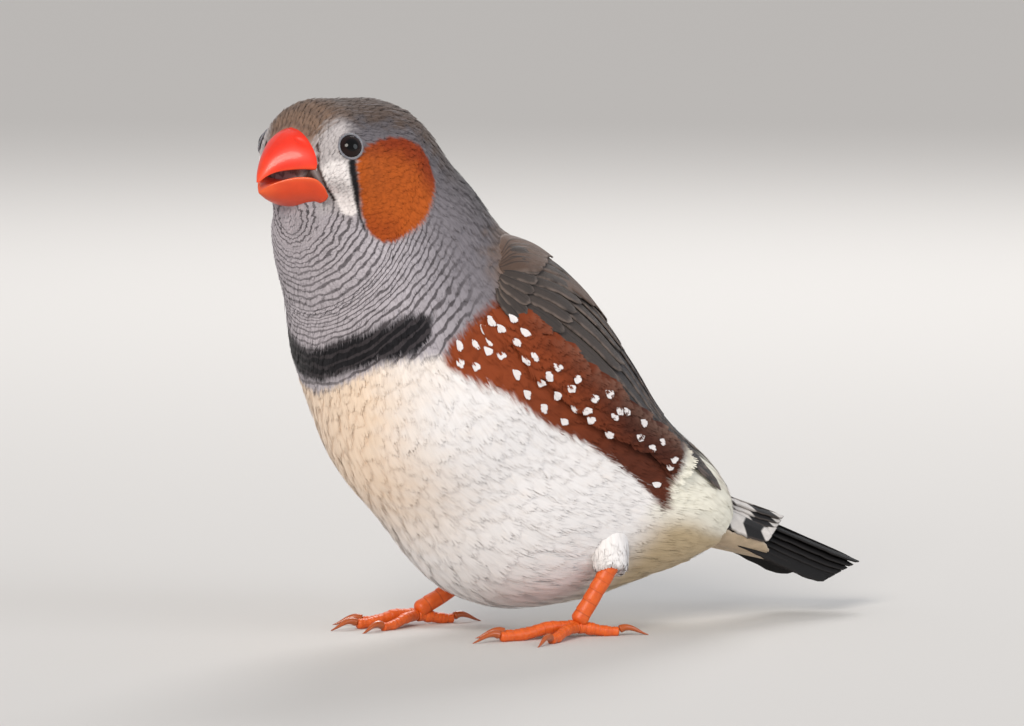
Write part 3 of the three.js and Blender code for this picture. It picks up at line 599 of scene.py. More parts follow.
def makeSkin():
    # body surface lowered by the depth of the coat, closed at both poles; the imported head, neck, torso and thigh
    # parts are hidden
    rows, columns = 260, 240
    u, v = gridOf(rows, columns)
    u, v = u[1:-1, :-1], v[1:-1, :-1]
    points = sample(body["points"], u, v) - sample(body["normals"], u, v) * depthAt(u)[..., None]
    poles = [onBody(np.array([0.0]), np.array([0.0]))[0], onBody(np.array([1.0]), np.array([0.0]))[0]]
    faceSide = unit(poles[0] - points[0].mean(0))
    tailSide = unit(poles[1] - points[-1].mean(0))
    ends = np.array([points[0].mean(0) + faceSide * 0.02, points[-1].mean(0) + tailSide * 0.02])
    count = points.shape[0] * columns
    quads = gridFaces(points.shape[0], columns, wrap=True)
    j = np.arange(columns)
    k = (j + 1) % columns
    last = (points.shape[0] - 1) * columns
    caps = np.concatenate([
        np.stack([np.full(columns, count), k, j, j], -1),
        np.stack([np.full(columns, count + 1), last + j, last + k, last + k], -1),
    ])
    allU = np.append(u.ravel(), [0.0, 1.0])
    allV = np.append(v.ravel(), [0.0, 0.0])
    values = coatValues(allU, allV)
    values["barb"] = np.tile([0.0, 0.8, 0.5], (len(allU), 1))
    points = np.concatenate([points.reshape(-1, 3), ends])
    triangles = np.concatenate([quads[:, [0, 1, 2]], quads[:, [0, 2, 3]], caps[:, :3]])
    skin = newPiece("skin", points, triangles, values, np.stack([allU, allV], -1))
    return finishPiece(skin, whitePlumage, "white_plumage", "head", "neck", "torso", "thigh_left", "thigh_right")


skin = makeSkin()
print("skin", len(skin.data.polygons))

# Body feathers: sizes in millimetres at places from the face to the tail root
coat = {
    "u": [0.03, 0.07, 0.12, 0.20, 0.34, 0.42, 0.60, 0.80, 0.95],
    "length": [1.0, 1.25, 1.9, 2.8, 4.4, 5.8, 7.0, 7.5, 6.0],
    "width": [0.50, 0.60, 0.85, 1.2, 2.0, 2.6, 3.0, 3.0, 2.6],
    "row": [0.28, 0.32, 0.42, 0.60, 0.86, 1.10, 1.35, 1.45, 1.3],
    "column": [0.30, 0.36, 0.48, 0.68, 1.0, 1.30, 1.50, 1.6, 1.5],
    "segments": 3,
    "rise": 0.10,
}


def coatSize(key, u):
    return np.interp(u, coat["u"], coat[key])


def scatterRoots(first, last):
    # staggered rows round the body, their spacing set by the feathers' size there
    roots = []
    u, row = first, 0
    while u < last:
        perU = float(sample(body["perU"], np.array([u]), np.array([0.3]))[0, 0])
        ring = float(sample(body["perV"], np.full(24, u), np.arange(24) / 24).mean())
        count = max(6, int(ring / coatSize("column", u)))
        v = (np.arange(count) + 0.5 * (row % 2)) / count
        roots.append(np.stack([np.full(count, u), v], -1))
        u += coatSize("row", u) / perU
        row += 1
    roots = np.concatenate(roots)
    roots[:, 0] += chance.normal(0, 0.22, len(roots)) * coatSize("row", roots[:, 0]) / 90
    roots[:, 1] += chance.normal(0, 0.18, len(roots)) * coatSize("column", roots[:, 0]) / 90
    return roots


def tuftPoints(length, width, barbs, segments, spread=0.9):
    # feather of separate barbs: each starts on the shaft and bends out to a round tip outline
    n = len(length)
    k = np.linspace(-1, 1, barbs)[None, :, None]
    t = np.linspace(0, 1, segments + 1)[None, None, :]
    shake = chance.normal(0, 1, (n, barbs, 1))
    angle = k * spread * 1.25 + 0.05 * shake
    start = 0.62 * (1 - np.abs(k) ** 1.2) * 0.9
    endX = 0.50 + 0.50 * np.cos(angle) + 0.035 * chance.normal(0, 1, (n, barbs, 1))
    endY = 0.5 * np.sin(angle) * (1 + 0.05 * chance.normal(0, 1, (n, barbs, 1)))
    x = mix(start, endX, t)
    y = endY * t**0.8
    dx, dy = np.gradient(x * length[:, None, None], axis=2), np.gradient(y * width[:, None, None], axis=2)
    size = np.maximum(np.hypot(dx, dy), 1e-6)
    half = (width[:, None, None] / barbs) * 1.15 * (1 - 0.7 * t**3)
    side = np.array([-1, 1])[None, None, None, :]
    px = (x * length[:, None, None])[..., None] - (dy / size * half)[..., None] * side
    py = (y * width[:, None, None])[..., None] + (dx / size * half)[..., None] * side
    along = np.broadcast_to(x[..., None], px.shape)
    across = np.broadcast_to((y * 2)[..., None], px.shape)
    return px, py, along, across


def surfaceTufts(name, surface, roots, length, width, barbs, segments, lie, low, high, material, slot,
                 nodes=(), valuesAt=coatValues, placeAt=lambda u, v: (u, v)):
    # feathers laid on a surface: local millimetres turned by the lie, mapped to u, v and raised towards the tip
    n = len(roots)
    px, py, along, across = tuftPoints(length, width, barbs, segments)
    shape = px.shape
    wrap = surface["wrap"]
    u0, v0 = roots[:, 0], roots[:, 1]
    perU = sample(surface["perU"], u0, v0, wrap)[:, 0]
    midU = np.clip(u0 + 0.5 * length / perU, 0, 1)
    perV = np.maximum(sample(surface["perV"], midU, v0, wrap)[:, 0], 4.0)
    c, s = np.cos(lie)[:, None, None, None], np.sin(lie)[:, None, None, None]
    col = (slice(None), None, None, None)
    u = u0[col] + (px * c - py * s) / perU[col]
    v = v0[col] + (px * s + py * c) / perV[col]
    share = px / length[col]
    tilt = chance.normal(0, 0.10, n)[col] * across
    barbTone = chance.uniform(0, 1, shape[:2])[:, :, None, None]
    featherTone = chance.uniform(0, 1, n)[col]
    height = low[col] + (high - low)[col] * np.clip(share, 0, 1.1) ** 0.8 - 0.16 * across**2 * width[col] * 0.5
    height = height + tilt * width[col] * 0.3 + 0.03 * (barbTone - 0.5)
    flatU, flatV = np.clip(u.ravel(), 0, 1), v.ravel()
    points = sample(surface["points"], flatU, flatV, wrap) + sample(surface["normals"], flatU, flatV, wrap) * height.reshape(-1, 1)
    values = valuesAt(flatU, flatV)
    tone = np.broadcast_to(0.65 * barbTone + 0.35 * featherTone, shape)
    values["barb"] = np.stack([across, along, tone], -1)
    patch = 0.003
    mapU, mapV = placeAt(u0, v0)
    uvs = np.stack([
        mapU[col] + patch * (px / length[col] - 0.5) * np.ones(shape),
        np.mod(mapV, 1)[col] + patch * py / width[col],
    ], -1)
    stations = segments + 1
    strip = gridFaces(stations, 2)
    faces = (np.arange(n * barbs)[:, None, None] * (stations * 2) + strip[None]).reshape(-1, 4)
    piece = newPiece(name, points, faces, values, np.clip(uvs, 0, 1))
    return finishPiece(piece, material, slot, *nodes)


# Bill: culmen, cutting edge and half-width of each half from inside the face to the tip, and their half sections
bill = {
    "upper": {
        "top": [(-36.0, 67.4), (-37.3, 67.1), (-38.7, 66.4), (-40.2, 65.1), (-41.4, 63.6), (-42.2, 62.0), (-42.7, 60.6)],
        "edge": [(-36.0, 61.8), (-37.2, 62.0), (-38.3, 62.1), (-39.6, 62.0), (-41.0, 61.7), (-42.0, 61.1), (-42.6, 60.4)],
        "half": [5.6, 5.1, 4.2, 2.9, 1.7, 0.85, 0.2],
        "section": [(1, 0), (0.93, 0.32), (0.76, 0.62), (0.48, 0.88), (0.2, 1), (0, 0.97), (0.05, 0.55), (0.1, 0)],
        "flanks": ([0, 0.2, 0.48, 0.76, 0.93, 1], [0.97, 1, 0.88, 0.62, 0.32, 0]),
    },
    "lower": {
        "top": [(-36.1, 58.8), (-36.8, 60.1), (-37.7, 61.0), (-39.2, 61.1), (-40.7, 60.6), (-41.7, 60.0), (-42.3, 59.4)],
        "edge": [(-36.1, 57.2), (-36.8, 57.1), (-37.7, 57.2), (-39.3, 57.5), (-40.8, 58.1), (-41.7, 58.6), (-42.3, 59.0)],
        "half": [6.0, 5.9, 5.2, 3.6, 2.1, 1.05, 0.25],
        "section": [(0.86, 0), (0.9, 0.6), (1, 0.97), (0.85, 1), (0.5, 0.88), (0.22, 0.6), (0.05, 0.28), (0, 0)],
        "flanks": ([0, 0.05, 0.22, 0.5, 0.85, 1], [0, 0.28, 0.6, 0.88, 1, 0.97]),
    },
    "nostril": {"x": -38.0, "z": 65.6, "radius": 0.42, "depth": 0.35},
    "margin": 0.12,
}


def underBill(points):
    # True where a point of the head lies within either half of the bill
    w = math.radians(bodyShape["headTurn"])
    dx, dy = points[..., 0] - bodyShape["turnX"], points[..., 1]
    x, y, z = bodyShape["turnX"] + dx * math.cos(w) + dy * math.sin(w), dy * math.cos(w) - dx * math.sin(w), points[..., 2]
    covered = np.zeros(x.shape, bool)
    for half in ("upper", "lower"):
        part = bill[half]
        top, edge = np.array(part["top"])[::-1], np.array(part["edge"])[::-1]
        high, low = np.interp(x, top[:, 0], top[:, 1]), np.interp(x, edge[:, 0], edge[:, 1])
        share = (z - low) / (high - low)
        width = np.interp(share, *part["flanks"]) * np.interp(x, top[:, 0], part["half"][::-1]) + bill["margin"]
        covered |= (x < part["top"][0][0] + bill["margin"]) & (np.abs(share - 0.5) < 0.52) & (np.abs(y) < width)
    return covered


wingEdges = {
    "lower": [
        (0.385, 0.168), (0.430, 0.194), (0.500, 0.194), (0.600, 0.190), (0.700, 0.190), (0.780, 0.198), (0.855, 0.212),
    ],
    "upper": [
        (0.372, 0.125), (0.385, 0.070), (0.450, 0.026), (0.550, 0.014), (0.650, 0.022), (0.760, 0.078), (0.855, 0.180),
    ],
}


def underWing(u, v):
    # True well inside the place of a folded wing
    w = np.minimum(np.mod(v, 1), 1 - np.mod(v, 1))
    lower, upper = np.array(wingEdges["lower"]), np.array(wingEdges["upper"])
    low = np.interp(u, lower[:, 0], lower[:, 1])
    high = np.interp(u, upper[:, 0], upper[:, 1])
    return (u > 0.43) & (u < 0.80) & (w < low - 0.035) & (w > high + 0.02)


coatPieces = [
    # name, first and last u, barbs of each feather, material, slot
    ("plumageFace", 0.040, 0.108, 11, greyPlumage, "grey_plumage"),
    ("plumageHead", 0.108, 0.190, 11, greyPlumage, "grey_plumage"),
    ("plumageNeck", 0.190, 0.330, 13, greyPlumage, "grey_plumage"),
    ("plumageBreast", 0.330, 0.480, 17, whitePlumage, "white_plumage"),
    ("plumageBelly", 0.480, 0.700, 19, whitePlumage, "white_plumage"),
    ("plumageVent", 0.700, 0.965, 19, whitePlumage, "white_plumage"),
]


def mouthAt(u, v):
    # True inside the gape, between the halves of the bill
    w = np.minimum(np.mod(v, 1), 1 - np.mod(v, 1))
    return (u < 0.054) & (u > 0.035) & (w > 0.10) & (w < 0.185)


def inEye(points):
    # True within either eye opening
    gone = np.zeros(len(points), bool)
    for v in (eyeShape["v"], 1 - eyeShape["v"]):
        centre, outward = eyeCentre(v)
        gone |= np.linalg.norm(points - centre, axis=-1) < eyeShape["radius"] + 0.05
    return gone


for name, first, last, barbs, material, slot in coatPieces:
    roots = scatterRoots(first, last)
    roots = roots[~underWing(*roots.T)]
    if last < 0.12:
        at = sample(body["points"], *roots.T)
        roots = roots[~underBill(at) & ~mouthAt(*roots.T) & ~inEye(at)]
    length = coatSize("length", roots[:, 0]) * chance.uniform(0.88, 1.12, len(roots))
    width = coatSize("width", roots[:, 0]) * chance.uniform(0.9, 1.1, len(roots))
    lie = chance.normal(0, 0.09, len(roots))
    low = -depthAt(roots[:, 0]) - 0.05
    high = coat["rise"] + chance.normal(0, 0.04, len(roots)) - 0.06 * (roots[:, 0] < 0.12)
    piece = surfaceTufts(name, body, roots, length, width, barbs, coat["segments"], lie, low, high, material, slot)
    print(name, len(roots), "feathers", len(piece.data.polygons) * 2, "triangles")

# Small feathers of the chin, on a square patch round the pole of the body under the bill
chin = {"reach": 0.052, "rows": 90, "count": 2300, "length": 0.95, "width": 0.5}


def chinPlace(a, b):
    # place on the body from a place on the patch: distance and heading from its middle
    x, y = (a - 0.5) * 2 * chin["reach"], (b - 0.5) * 2 * chin["reach"]
    return np.hypot(x, y), np.mod(np.arctan2(y, x) / (2 * np.pi), 1)


def makeChin():
    surface = gridSurface(onBody(*chinPlace(*gridOf(chin["rows"], chin["rows"]))), False)
    roots = chance.uniform(0.02, 0.98, (chin["count"], 2))
    u, v = chinPlace(*roots.T)
    at = sample(surface["points"], *roots.T, False)
    roots = roots[(u < 0.050) & ~underBill(at) & ~mouthAt(u, v)]
    u, v = chinPlace(*roots.T)
    outwards = smooth(0.015, 0.050, u)
    heading = v * 2 * np.pi
    lie = np.arctan2(np.sin(heading) * outwards, np.cos(heading) * outwards - (1 - outwards))
    count = len(roots)
    low = -depthAt(u) - 0.05
    surfaceTufts("plumageChin", surface, roots, chin["length"] * chance.uniform(0.85, 1.15, count),
                 chin["width"] * chance.uniform(0.9, 1.1, count), 11, 3, lie + chance.normal(0, 0.08, count), low,
                 np.full(count, 0.05), greyPlumage, "grey_plumage",
                 valuesAt=lambda a, b: coatValues(*chinPlace(a, b)), placeAt=chinPlace)
    print("plumageChin", count)


makeChin()

# Loose flank feathers that lie over the lower edge of the folded wing, and the white spots of the flank
flankLoose = {"u": (0.400, 0.735), "inset": 0.016, "depth": 0.046, "count": 620, "length": 3.8, "width": 1.5, "low": 0.25, "high": 1.15}
spots = {
    "places": [
        (0.406, 0.217), (0.406, 0.233), (0.421, 0.214), (0.424, 0.192), (0.394, 0.278), (0.409, 0.258), (0.421, 0.239),
        (0.426, 0.250), (0.444, 0.211), (0.444, 0.194), (0.441, 0.239), (0.409, 0.292), (0.426, 0.278), (0.466, 0.217),
        (0.471, 0.206), (0.469, 0.239), (0.496, 0.247), (0.499, 0.222), (0.500, 0.209), (0.499, 0.194), (0.526, 0.217),
        (0.531, 0.200), (0.529, 0.186), (0.526, 0.242), (0.559, 0.236), (0.554, 0.214), (0.566, 0.206), (0.561, 0.189),
        (0.581, 0.211), (0.574, 0.172), (0.601, 0.189), (0.601, 0.178), (0.614, 0.211), (0.654, 0.189), (0.683, 0.192),
        (0.646, 0.167), (0.696, 0.172), (0.731, 0.206), (0.733, 0.242), (0.611, 0.172), (0.731, 0.192),
    ],
    "length": 1.05,
    "width": 0.85,
    "colour": (0.80, 0.75, 0.74),
}


def flankHeight(w):
    # height of the coat near the wing's lower edge, where the loose feathers lie over the wing
    return mix(0.18, flankLoose["high"] + 0.12, smooth(0.235, 0.195, w))


def makeFlank(side):
    mirror = side == "Right"
    ring = np.array(outlines["flank"][3:12])
    count = flankLoose["count"]
    u = chance.uniform(*flankLoose["u"], count)
    w = np.interp(u, ring[:, 0], ring[:, 1]) + flankLoose["inset"] + flankLoose["depth"] * chance.uniform(0, 1, count)
    roots = np.stack([u, 1 - w if mirror else w], -1)
    lie = chance.normal(-0.05, 0.12, count) * (1 if mirror else -1)
    high = flankLoose["high"] * smooth(0.240, 0.185, w) + 0.1 + chance.normal(0, 0.06, count)
    surfaceTufts(f"plumageFlank{side}", body, roots, flankLoose["length"] * chance.uniform(0.8, 1.2, count),
                 flankLoose["width"] * chance.uniform(0.85, 1.15, count), 11, 3, lie, np.full(count, flankLoose["low"]), high,
                 whitePlumage, "white_plumage")
    places = np.array(spots["places"])
    offsets = np.array([(-0.0025, 0.0), (0.0, -0.0018), (0.0, 0.0018), (0.0012, 0.0)])
    places = (places[:, None] + offsets[None]).reshape(-1, 2)
    roots = np.stack([places[:, 0] - 0.004, 1 - places[:, 1] if mirror else places[:, 1]], -1)
    count = len(roots)

    def values(u, v):
        return {"tone": np.tile(spots["colour"], (len(u), 1)), "marks": np.zeros((len(u), 3)),
                "place": np.stack([u * 100, v * 100, u], -1)}
    high = flankHeight(places[:, 1])
    surfaceTufts(f"flankSpots{side}", body, roots, spots["length"] * chance.uniform(0.75, 1.1, count),
                 spots["width"] * chance.uniform(0.7, 1.0, count), 9, 2, chance.normal(0, 0.15, count), high - 0.10, high,
                 whitePlumage, "white_plumage", valuesAt=values)


for side in ("Left", "Right"):
    makeFlank(side)
print("flanks")


def vaneBlock(centre, normal, half, roll, camber, thick, columns, leading=0.85, ragged=0.0):
    # closed feather plates: centre lines [n, rows, 3] widened across to an outline with a round tip, cambered,
    # ridged along the shaft, with an underside thick below the top
    n, rows = centre.shape[:2]
    t = np.linspace(0, 1, rows)[None, :]
    axis = unit(np.gradient(centre, axis=1))
    level = unit(np.cross(axis, normal))
    up = np.cross(level, axis)
    c, s = np.cos(roll)[:, None, None], np.sin(roll)[:, None, None]
    across = level * c + up * s
    face = up * c - level * s
    tipStart = 0.78
    tip = np.sqrt(np.clip(1 - (np.clip((t - tipStart) / (1 - tipStart), 0, 1)) ** 2, 0.0, 1))
    outline = (0.55 + 0.45 * smooth(0, 0.35, t)) * tip
    x = np.linspace(-1, 1, columns)
    x = np.sign(x) * np.abs(x) ** 1.15
    web = np.where(x < 0, leading, 1.0)
    edge = chance.normal(0, ragged, (n, rows, 2)) if ragged else np.zeros((n, rows, 2))
    reach = half[:, None, None] * outline[..., None] * web * np.abs(x)
    reach = reach * (1 + np.where(x < 0, edge[..., :1], edge[..., 1:]) * np.abs(x) ** 4)
    y = np.sign(x) * reach
    ridge = 0.10 * np.exp(-(x / 0.09) ** 2) * (1 - 0.8 * t[..., None])
    rise = -camber[:, None, None] * (y / half[:, None, None]) ** 2 + ridge
    top = centre[:, :, None] + across[:, :, None] * y[..., None] + face[:, :, None] * (rise + thick / 2)[..., None]
    below = centre[:, :, None] + across[:, :, None] * y[..., None] + face[:, :, None] * (rise - ridge - thick / 2)[..., None]
    points = np.stack([top, below], 1)
    barb = np.stack(np.broadcast_arrays(x[None, None, :], t[..., None], chance.uniform(0, 1, (n, 1, 1))), -1)
    barb = np.stack([barb, barb], 1)
    grid = gridFaces(rows, columns)
    size = rows * columns
    rim = np.concatenate([
        np.arange(columns - 1), (np.arange(rows - 1) + 1) * columns - 1,
        (rows * columns - 1) - np.arange(columns - 1), (rows - 1 - np.arange(rows - 1)) * columns,
    ])
    following = np.roll(rim, -1)
    wall = np.stack([rim, rim + size, following + size, following], -1)
    one = np.concatenate([grid[:, ::-1], grid + size, wall[:, ::-1]])
    faces = (np.arange(n)[:, None, None] * (2 * size) + one[None]).reshape(-1, 4)
    return points, barb, faces


def makeVanes(name, blocks, material, slot, nodes=(), tones=None):
    # one piece from several blocks of vanes, each vane with a cell of its own in the coat's map
    points, barbs, faces, places, colours, uvs, start = [], [], [], [], [], [], 0
    total = sum(len(block[0]) for block in blocks)
    side = int(math.ceil(math.sqrt(total)))
    index = 0
    for (block, barb, face), tone in zip(blocks, tones):
        n = len(block)
        cell = np.arange(index, index + n)
        index += n
        cu = (cell // side)[:, None, None, None, None] / side
        cv = (cell % side)[:, None, None, None, None] / side
        face2 = np.arange(2)[None, :, None, None, None]
        u = cu + (barb[..., 1:2] * 0.9 + 0.05) / side
        v = cv + ((barb[..., 0:1] * 0.5 + 0.5) * 0.44 + 0.03 + 0.5 * face2) / side
        uvs.append(np.concatenate([u, v], -1).reshape(-1, 2))
        points.append(block.reshape(-1, 3))
        barbs.append(barb.reshape(-1, 3))
        colours.append(np.tile(tone, (points[-1].shape[0], 1)))
        places.append(block.reshape(-1, 3))
        faces.append(face + start)
        start += len(points[-1])
    piece = newPiece(name, np.concatenate(points), np.concatenate(faces), {
        "barb": np.concatenate(barbs), "tone": np.concatenate(colours), "place": np.concatenate(places),
    }, np.concatenate(uvs))
    return finishPiece(piece, material, slot, *nodes)


def vaneMaterial(name, rim, rimShare, roughness, bump=0.35):
    # flight feather: dark web, pale rim, shaft line and fine slanting barbs in colour and in relief
    material, tree, shader = newMaterial(name, **{"Roughness": roughness, "Sheen Weight": 0.1, "Specular IOR Level": 0.35})
    tone, barb, place = attribute(tree, "tone"), attribute(tree, "barb"), attribute(tree, "place")
    parts = addNode(tree, "ShaderNodeSeparateXYZ", {0: barb.outputs["Vector"]})
    across = math2(tree, "ABSOLUTE", parts.outputs[0])
    slant = math2(tree, "SUBTRACT", parts.outputs[1], math2(tree, "MULTIPLY", across, 0.10))
    lines = math2(tree, "SINE", math2(tree, "MULTIPLY", slant, 520.0))
    rimMask = math2(tree, "MAXIMUM", softStep(tree, across, 0.60, 0.95), softStep(tree, parts.outputs[1], 0.90, 0.985))
    noise = addNode(tree, "ShaderNodeTexNoise", {"Vector": place.outputs["Vector"], "Scale": 0.8, "Detail": 4.0})
    rimMask = math2(tree, "MULTIPLY", rimMask, softStep(tree, noise.outputs[0], 0.28, 0.62))
    colour = mixColour(tree, math2(tree, "MULTIPLY", rimMask, rimShare), tone.outputs["Color"], rim)
    shaft = softStep(tree, across, 0.10, 0.02)
    colour = mixColour(tree, math2(tree, "MULTIPLY", shaft, 0.7), colour, (0.02, 0.016, 0.015, 1))
    value = math2(tree, "ADD", math2(tree, "MULTIPLY", lines, 0.10), 1.0)
    value = math2(tree, "MULTIPLY", value, math2(tree, "ADD", math2(tree, "MULTIPLY", noise.outputs[0], 0.5), 0.75))
    value = math2(tree, "MULTIPLY", value, math2(tree, "ADD", math2(tree, "MULTIPLY", parts.outputs[2], 0.3), 0.85))
    colour = addNode(tree, "ShaderNodeVectorMath", {0: colour, 3: value}, operation="SCALE").outputs[0]
    tree.links.new(colour, shader.inputs["Base Color"])
    relief = addNode(tree, "ShaderNodeBump", {"Height": lines, "Strength": bump, "Distance": 0.00004})
    tree.links.new(relief.outputs[0], shader.inputs["Normal"])
    return material


wingBrown = vaneMaterial("wingBrown", (0.20, 0.150, 0.125, 1), 0.62, 0.65)
wing = {
    "flightColour": (0.026, 0.021, 0.022),
    "covertColour": (0.046, 0.034, 0.029),
    "scapularColour": (0.100, 0.058, 0.040),
    "tiers": [
        # name, count, root first and last, tip first and last, half-width, heights, roll
        ("primary", 7, (0.42, 0.10), (0.40, 0.50), (1.00, 0.40), (0.80, 0.62), 1.25, (-0.45, 0.40), 10, "flightColour"),
        ("secondary", 7, (0.34, 0.08), (0.34, 0.66), (0.72, 0.10), (0.78, 0.66), 1.45, (-0.25, 0.15), 10, "flightColour"),
        ("tertial", 3, (0.36, 0.66), (0.34, 0.90), (0.84, 0.66), (0.66, 0.90), 1.75, (-0.05, 0.40), 9, "flightColour"),
        ("greaterCovert", 9, (0.20, 0.07), (0.24, 0.88), (0.47, 0.07), (0.54, 0.82), 1.25, (-0.10, 0.50), 10, "covertColour"),
        ("medianCovert", 9, (0.12, 0.12), (0.13, 0.82), (0.31, 0.07), (0.38, 0.82), 1.15, (-0.05, 0.70), 9, "covertColour"),
        ("lesserCovert", 8, (0.04, 0.14), (0.05, 0.84), (0.20, 0.09), (0.24, 0.82), 1.10, (0.0, 0.78), 8, "covertColour"),
        ("scapular", 6, (0.15, 0.60), (0.20, 0.95), (0.42, 0.70), (0.54, 0.97), 1.6, (-0.05, 0.80), 7, "scapularColour"),
        ("upperScapular", 6, (0.02, 0.62), (0.04, 0.97), (0.24, 0.68), (0.32, 0.97), 1.5, (0.0, 0.82), 7, "scapularColour"),
    ],
}


def onWing(a, b):
    # place on the body from a place on the wing: a along it, b from its lower to its upper edge
    return mix(alongCurve(wingEdges["lower"], a), alongCurve(wingEdges["upper"], a), b[..., None])


def wingVanes(mirror):
    rows, columns = 22, 9
    t = np.linspace(0, 1, rows)[None, :, None]
    blocks, tones = [], []
    for _, count, rootA, rootB, tipA, tipB, half, height, roll, colour in wing["tiers"]:
        share = np.linspace(0, 1, count)[:, None]
        root = mix(np.array(rootA), np.array(rootB), share) + chance.normal(0, 0.004, (count, 2))
        tip = mix(np.array(tipA), np.array(tipB), share) + chance.normal(0, 0.006, (count, 2))
        ab = mix(root[:, None], tip[:, None], t)
        place = onWing(ab[..., 0], ab[..., 1])
        u, v = place[..., 0], place[..., 1]
        v = 1 - v if mirror else v
        normals = unit(sample(body["normals"], u, v))
        lift = height[0] + (height[1] - height[0]) * np.minimum(1, 1.4 * t[..., 0])
        centre = sample(body["points"], u, v) + normals * (lift * np.ones(u.shape))[..., None]
        rolls = np.full(count, math.radians(-roll if mirror else roll))
        halves = half * chance.uniform(0.92, 1.08, count)
        blocks.append(vaneBlock(centre, normals, halves, rolls, np.full(count, 0.22), 0.16, columns, ragged=0.03))
        tones.append(wing[colour])
    side = "Right" if mirror else "Left"
    return makeVanes(f"wing{side}", blocks, wingBrown, "brown_plumage", (f"wing_{side.lower()}",), tones)


for mirror in (False, True):
    piece = wingVanes(mirror)
    print(piece.name, len(piece.data.polygons) * 2)

tail = {
    "feathers": {"count": 6, "root": [(25.0, 0.5, 17.4), (24.0, 2.2, 14.6)], "tip": [(49.2, 0.9, 7.0), (42.6, 4.3, 5.6)],
                 "half": 1.75, "roll": (14, 52)},
    "upperCoverts": {"count": 6, "root": [(21.0, 0.6, 19.6), (21.0, 4.4, 17.0)],
                     "tip": [(37.6, 0.8, 13.6), (33.6, 4.6, 11.6)], "half": 1.7, "roll": (14, 50)},
    "underCoverts": {"count": 6, "root": [(21.0, 0.6, 11.6), (21.0, 4.0, 13.2)],
                     "tip": [(35.6, 0.9, 8.0), (33.4, 3.6, 9.2)], "half": 1.9, "roll": (-8, -34)},
}


def tailMaterial(name, band, bandShare, edge):
    # black web with pale bands across it, a brown rim and fine barbs
    material, tree, shader = newMaterial(name, **{"Roughness": 0.6, "Sheen Weight": 0.0, "Specular IOR Level": 0.25})
    tone, barb, place = attribute(tree, "tone"), attribute(tree, "barb"), attribute(tree, "place")
    parts = addNode(tree, "ShaderNodeSeparateXYZ", {0: barb.outputs["Vector"]})
    across = math2(tree, "ABSOLUTE", parts.outputs[0])
    slant = math2(tree, "SUBTRACT", parts.outputs[1], math2(tree, "MULTIPLY", across, 0.06))
    lines = math2(tree, "SINE", math2(tree, "MULTIPLY", slant, 560.0))
    wave = math2(tree, "SINE", math2(tree, "MULTIPLY", math2(tree, "SUBTRACT", slant, 0.06), 2 * math.pi * 2.5))
    bandMask = math2(tree, "MULTIPLY", softStep(tree, wave, -0.05, 0.35), bandShare)
    colour = mixColour(tree, bandMask, tone.outputs["Color"], band)
    colour = mixColour(tree, math2(tree, "MULTIPLY", softStep(tree, across, 0.8, 1.0), 0.5), colour, edge)
    noise = addNode(tree, "ShaderNodeTexNoise", {"Vector": place.outputs["Vector"], "Scale": 0.7, "Detail": 4.0})
    value = math2(tree, "MULTIPLY", math2(tree, "ADD", math2(tree, "MULTIPLY", lines, 0.12), 1.0),
                  math2(tree, "ADD", math2(tree, "MULTIPLY", noise.outputs[0], 0.6), 0.7))
    colour = addNode(tree, "ShaderNodeVectorMath", {0: colour, 3: value}, operation="SCALE").outputs[0]
    tree.links.new(colour, shader.inputs["Base Color"])
    relief = addNode(tree, "ShaderNodeBump", {"Height": lines, "Strength": 0.35, "Distance": 0.00004})
    tree.links.new(relief.outputs[0], shader.inputs["Normal"])
    return material


tailBlack = tailMaterial("tailBlack", (0.02, 0.016, 0.014, 1), 0.0, (0.016, 0.012, 0.011, 1))
covertBarred = tailMaterial("covertBarred", (0.62, 0.58, 0.55, 1), 1.0, (0.10, 0.08, 0.07, 1))
covertCream = tailMaterial("covertCream", (0.62, 0.50, 0.36, 1), 0.0, (0.60, 0.50, 0.40, 1))


def tailVanes(name, key, material, colour, ragged, camber):
    part = tail[key]
    rows, columns = 26, 11
    t = np.linspace(0, 1, rows)[None, :, None]
    share = np.linspace(0, 1, part["count"])[:, None]
    blocks = []
    for side in (-1, 1):
        root = mix(np.array(part["root"][0]), np.array(part["root"][1]), share)
        tip = mix(np.array(part["tip"][0]), np.array(part["tip"][1]), share)
        centre = mix(root[:, None], tip[:, None], t) * np.array([1, side, 1])
        normal = np.broadcast_to(unit(np.array([0.45, 0, 0.89])), centre.shape)
        rolls = np.radians(mix(part["roll"][0], part["roll"][1], share[:, 0])) * side
        halves = np.full(part["count"], part["half"])
        blocks.append(vaneBlock(centre, normal, halves, rolls, np.full(part["count"], camber), 0.16, columns,
                                leading=1.0, ragged=ragged))
    return makeVanes(name, blocks, material, "black_plumage", ("tail",), [colour, colour])


tailVanes("tailFeathers", "feathers", tailBlack, (0.006, 0.005, 0.005), 0.02, 0.25)
tailVanes("tailUpperCoverts", "upperCoverts", covertBarred, (0.012, 0.011, 0.012), 0.05, 0.3)
tailVanes("tailUnderCoverts", "underCoverts", covertCream, (0.55, 0.43, 0.30), 0.08, -0.4)
print("tail")

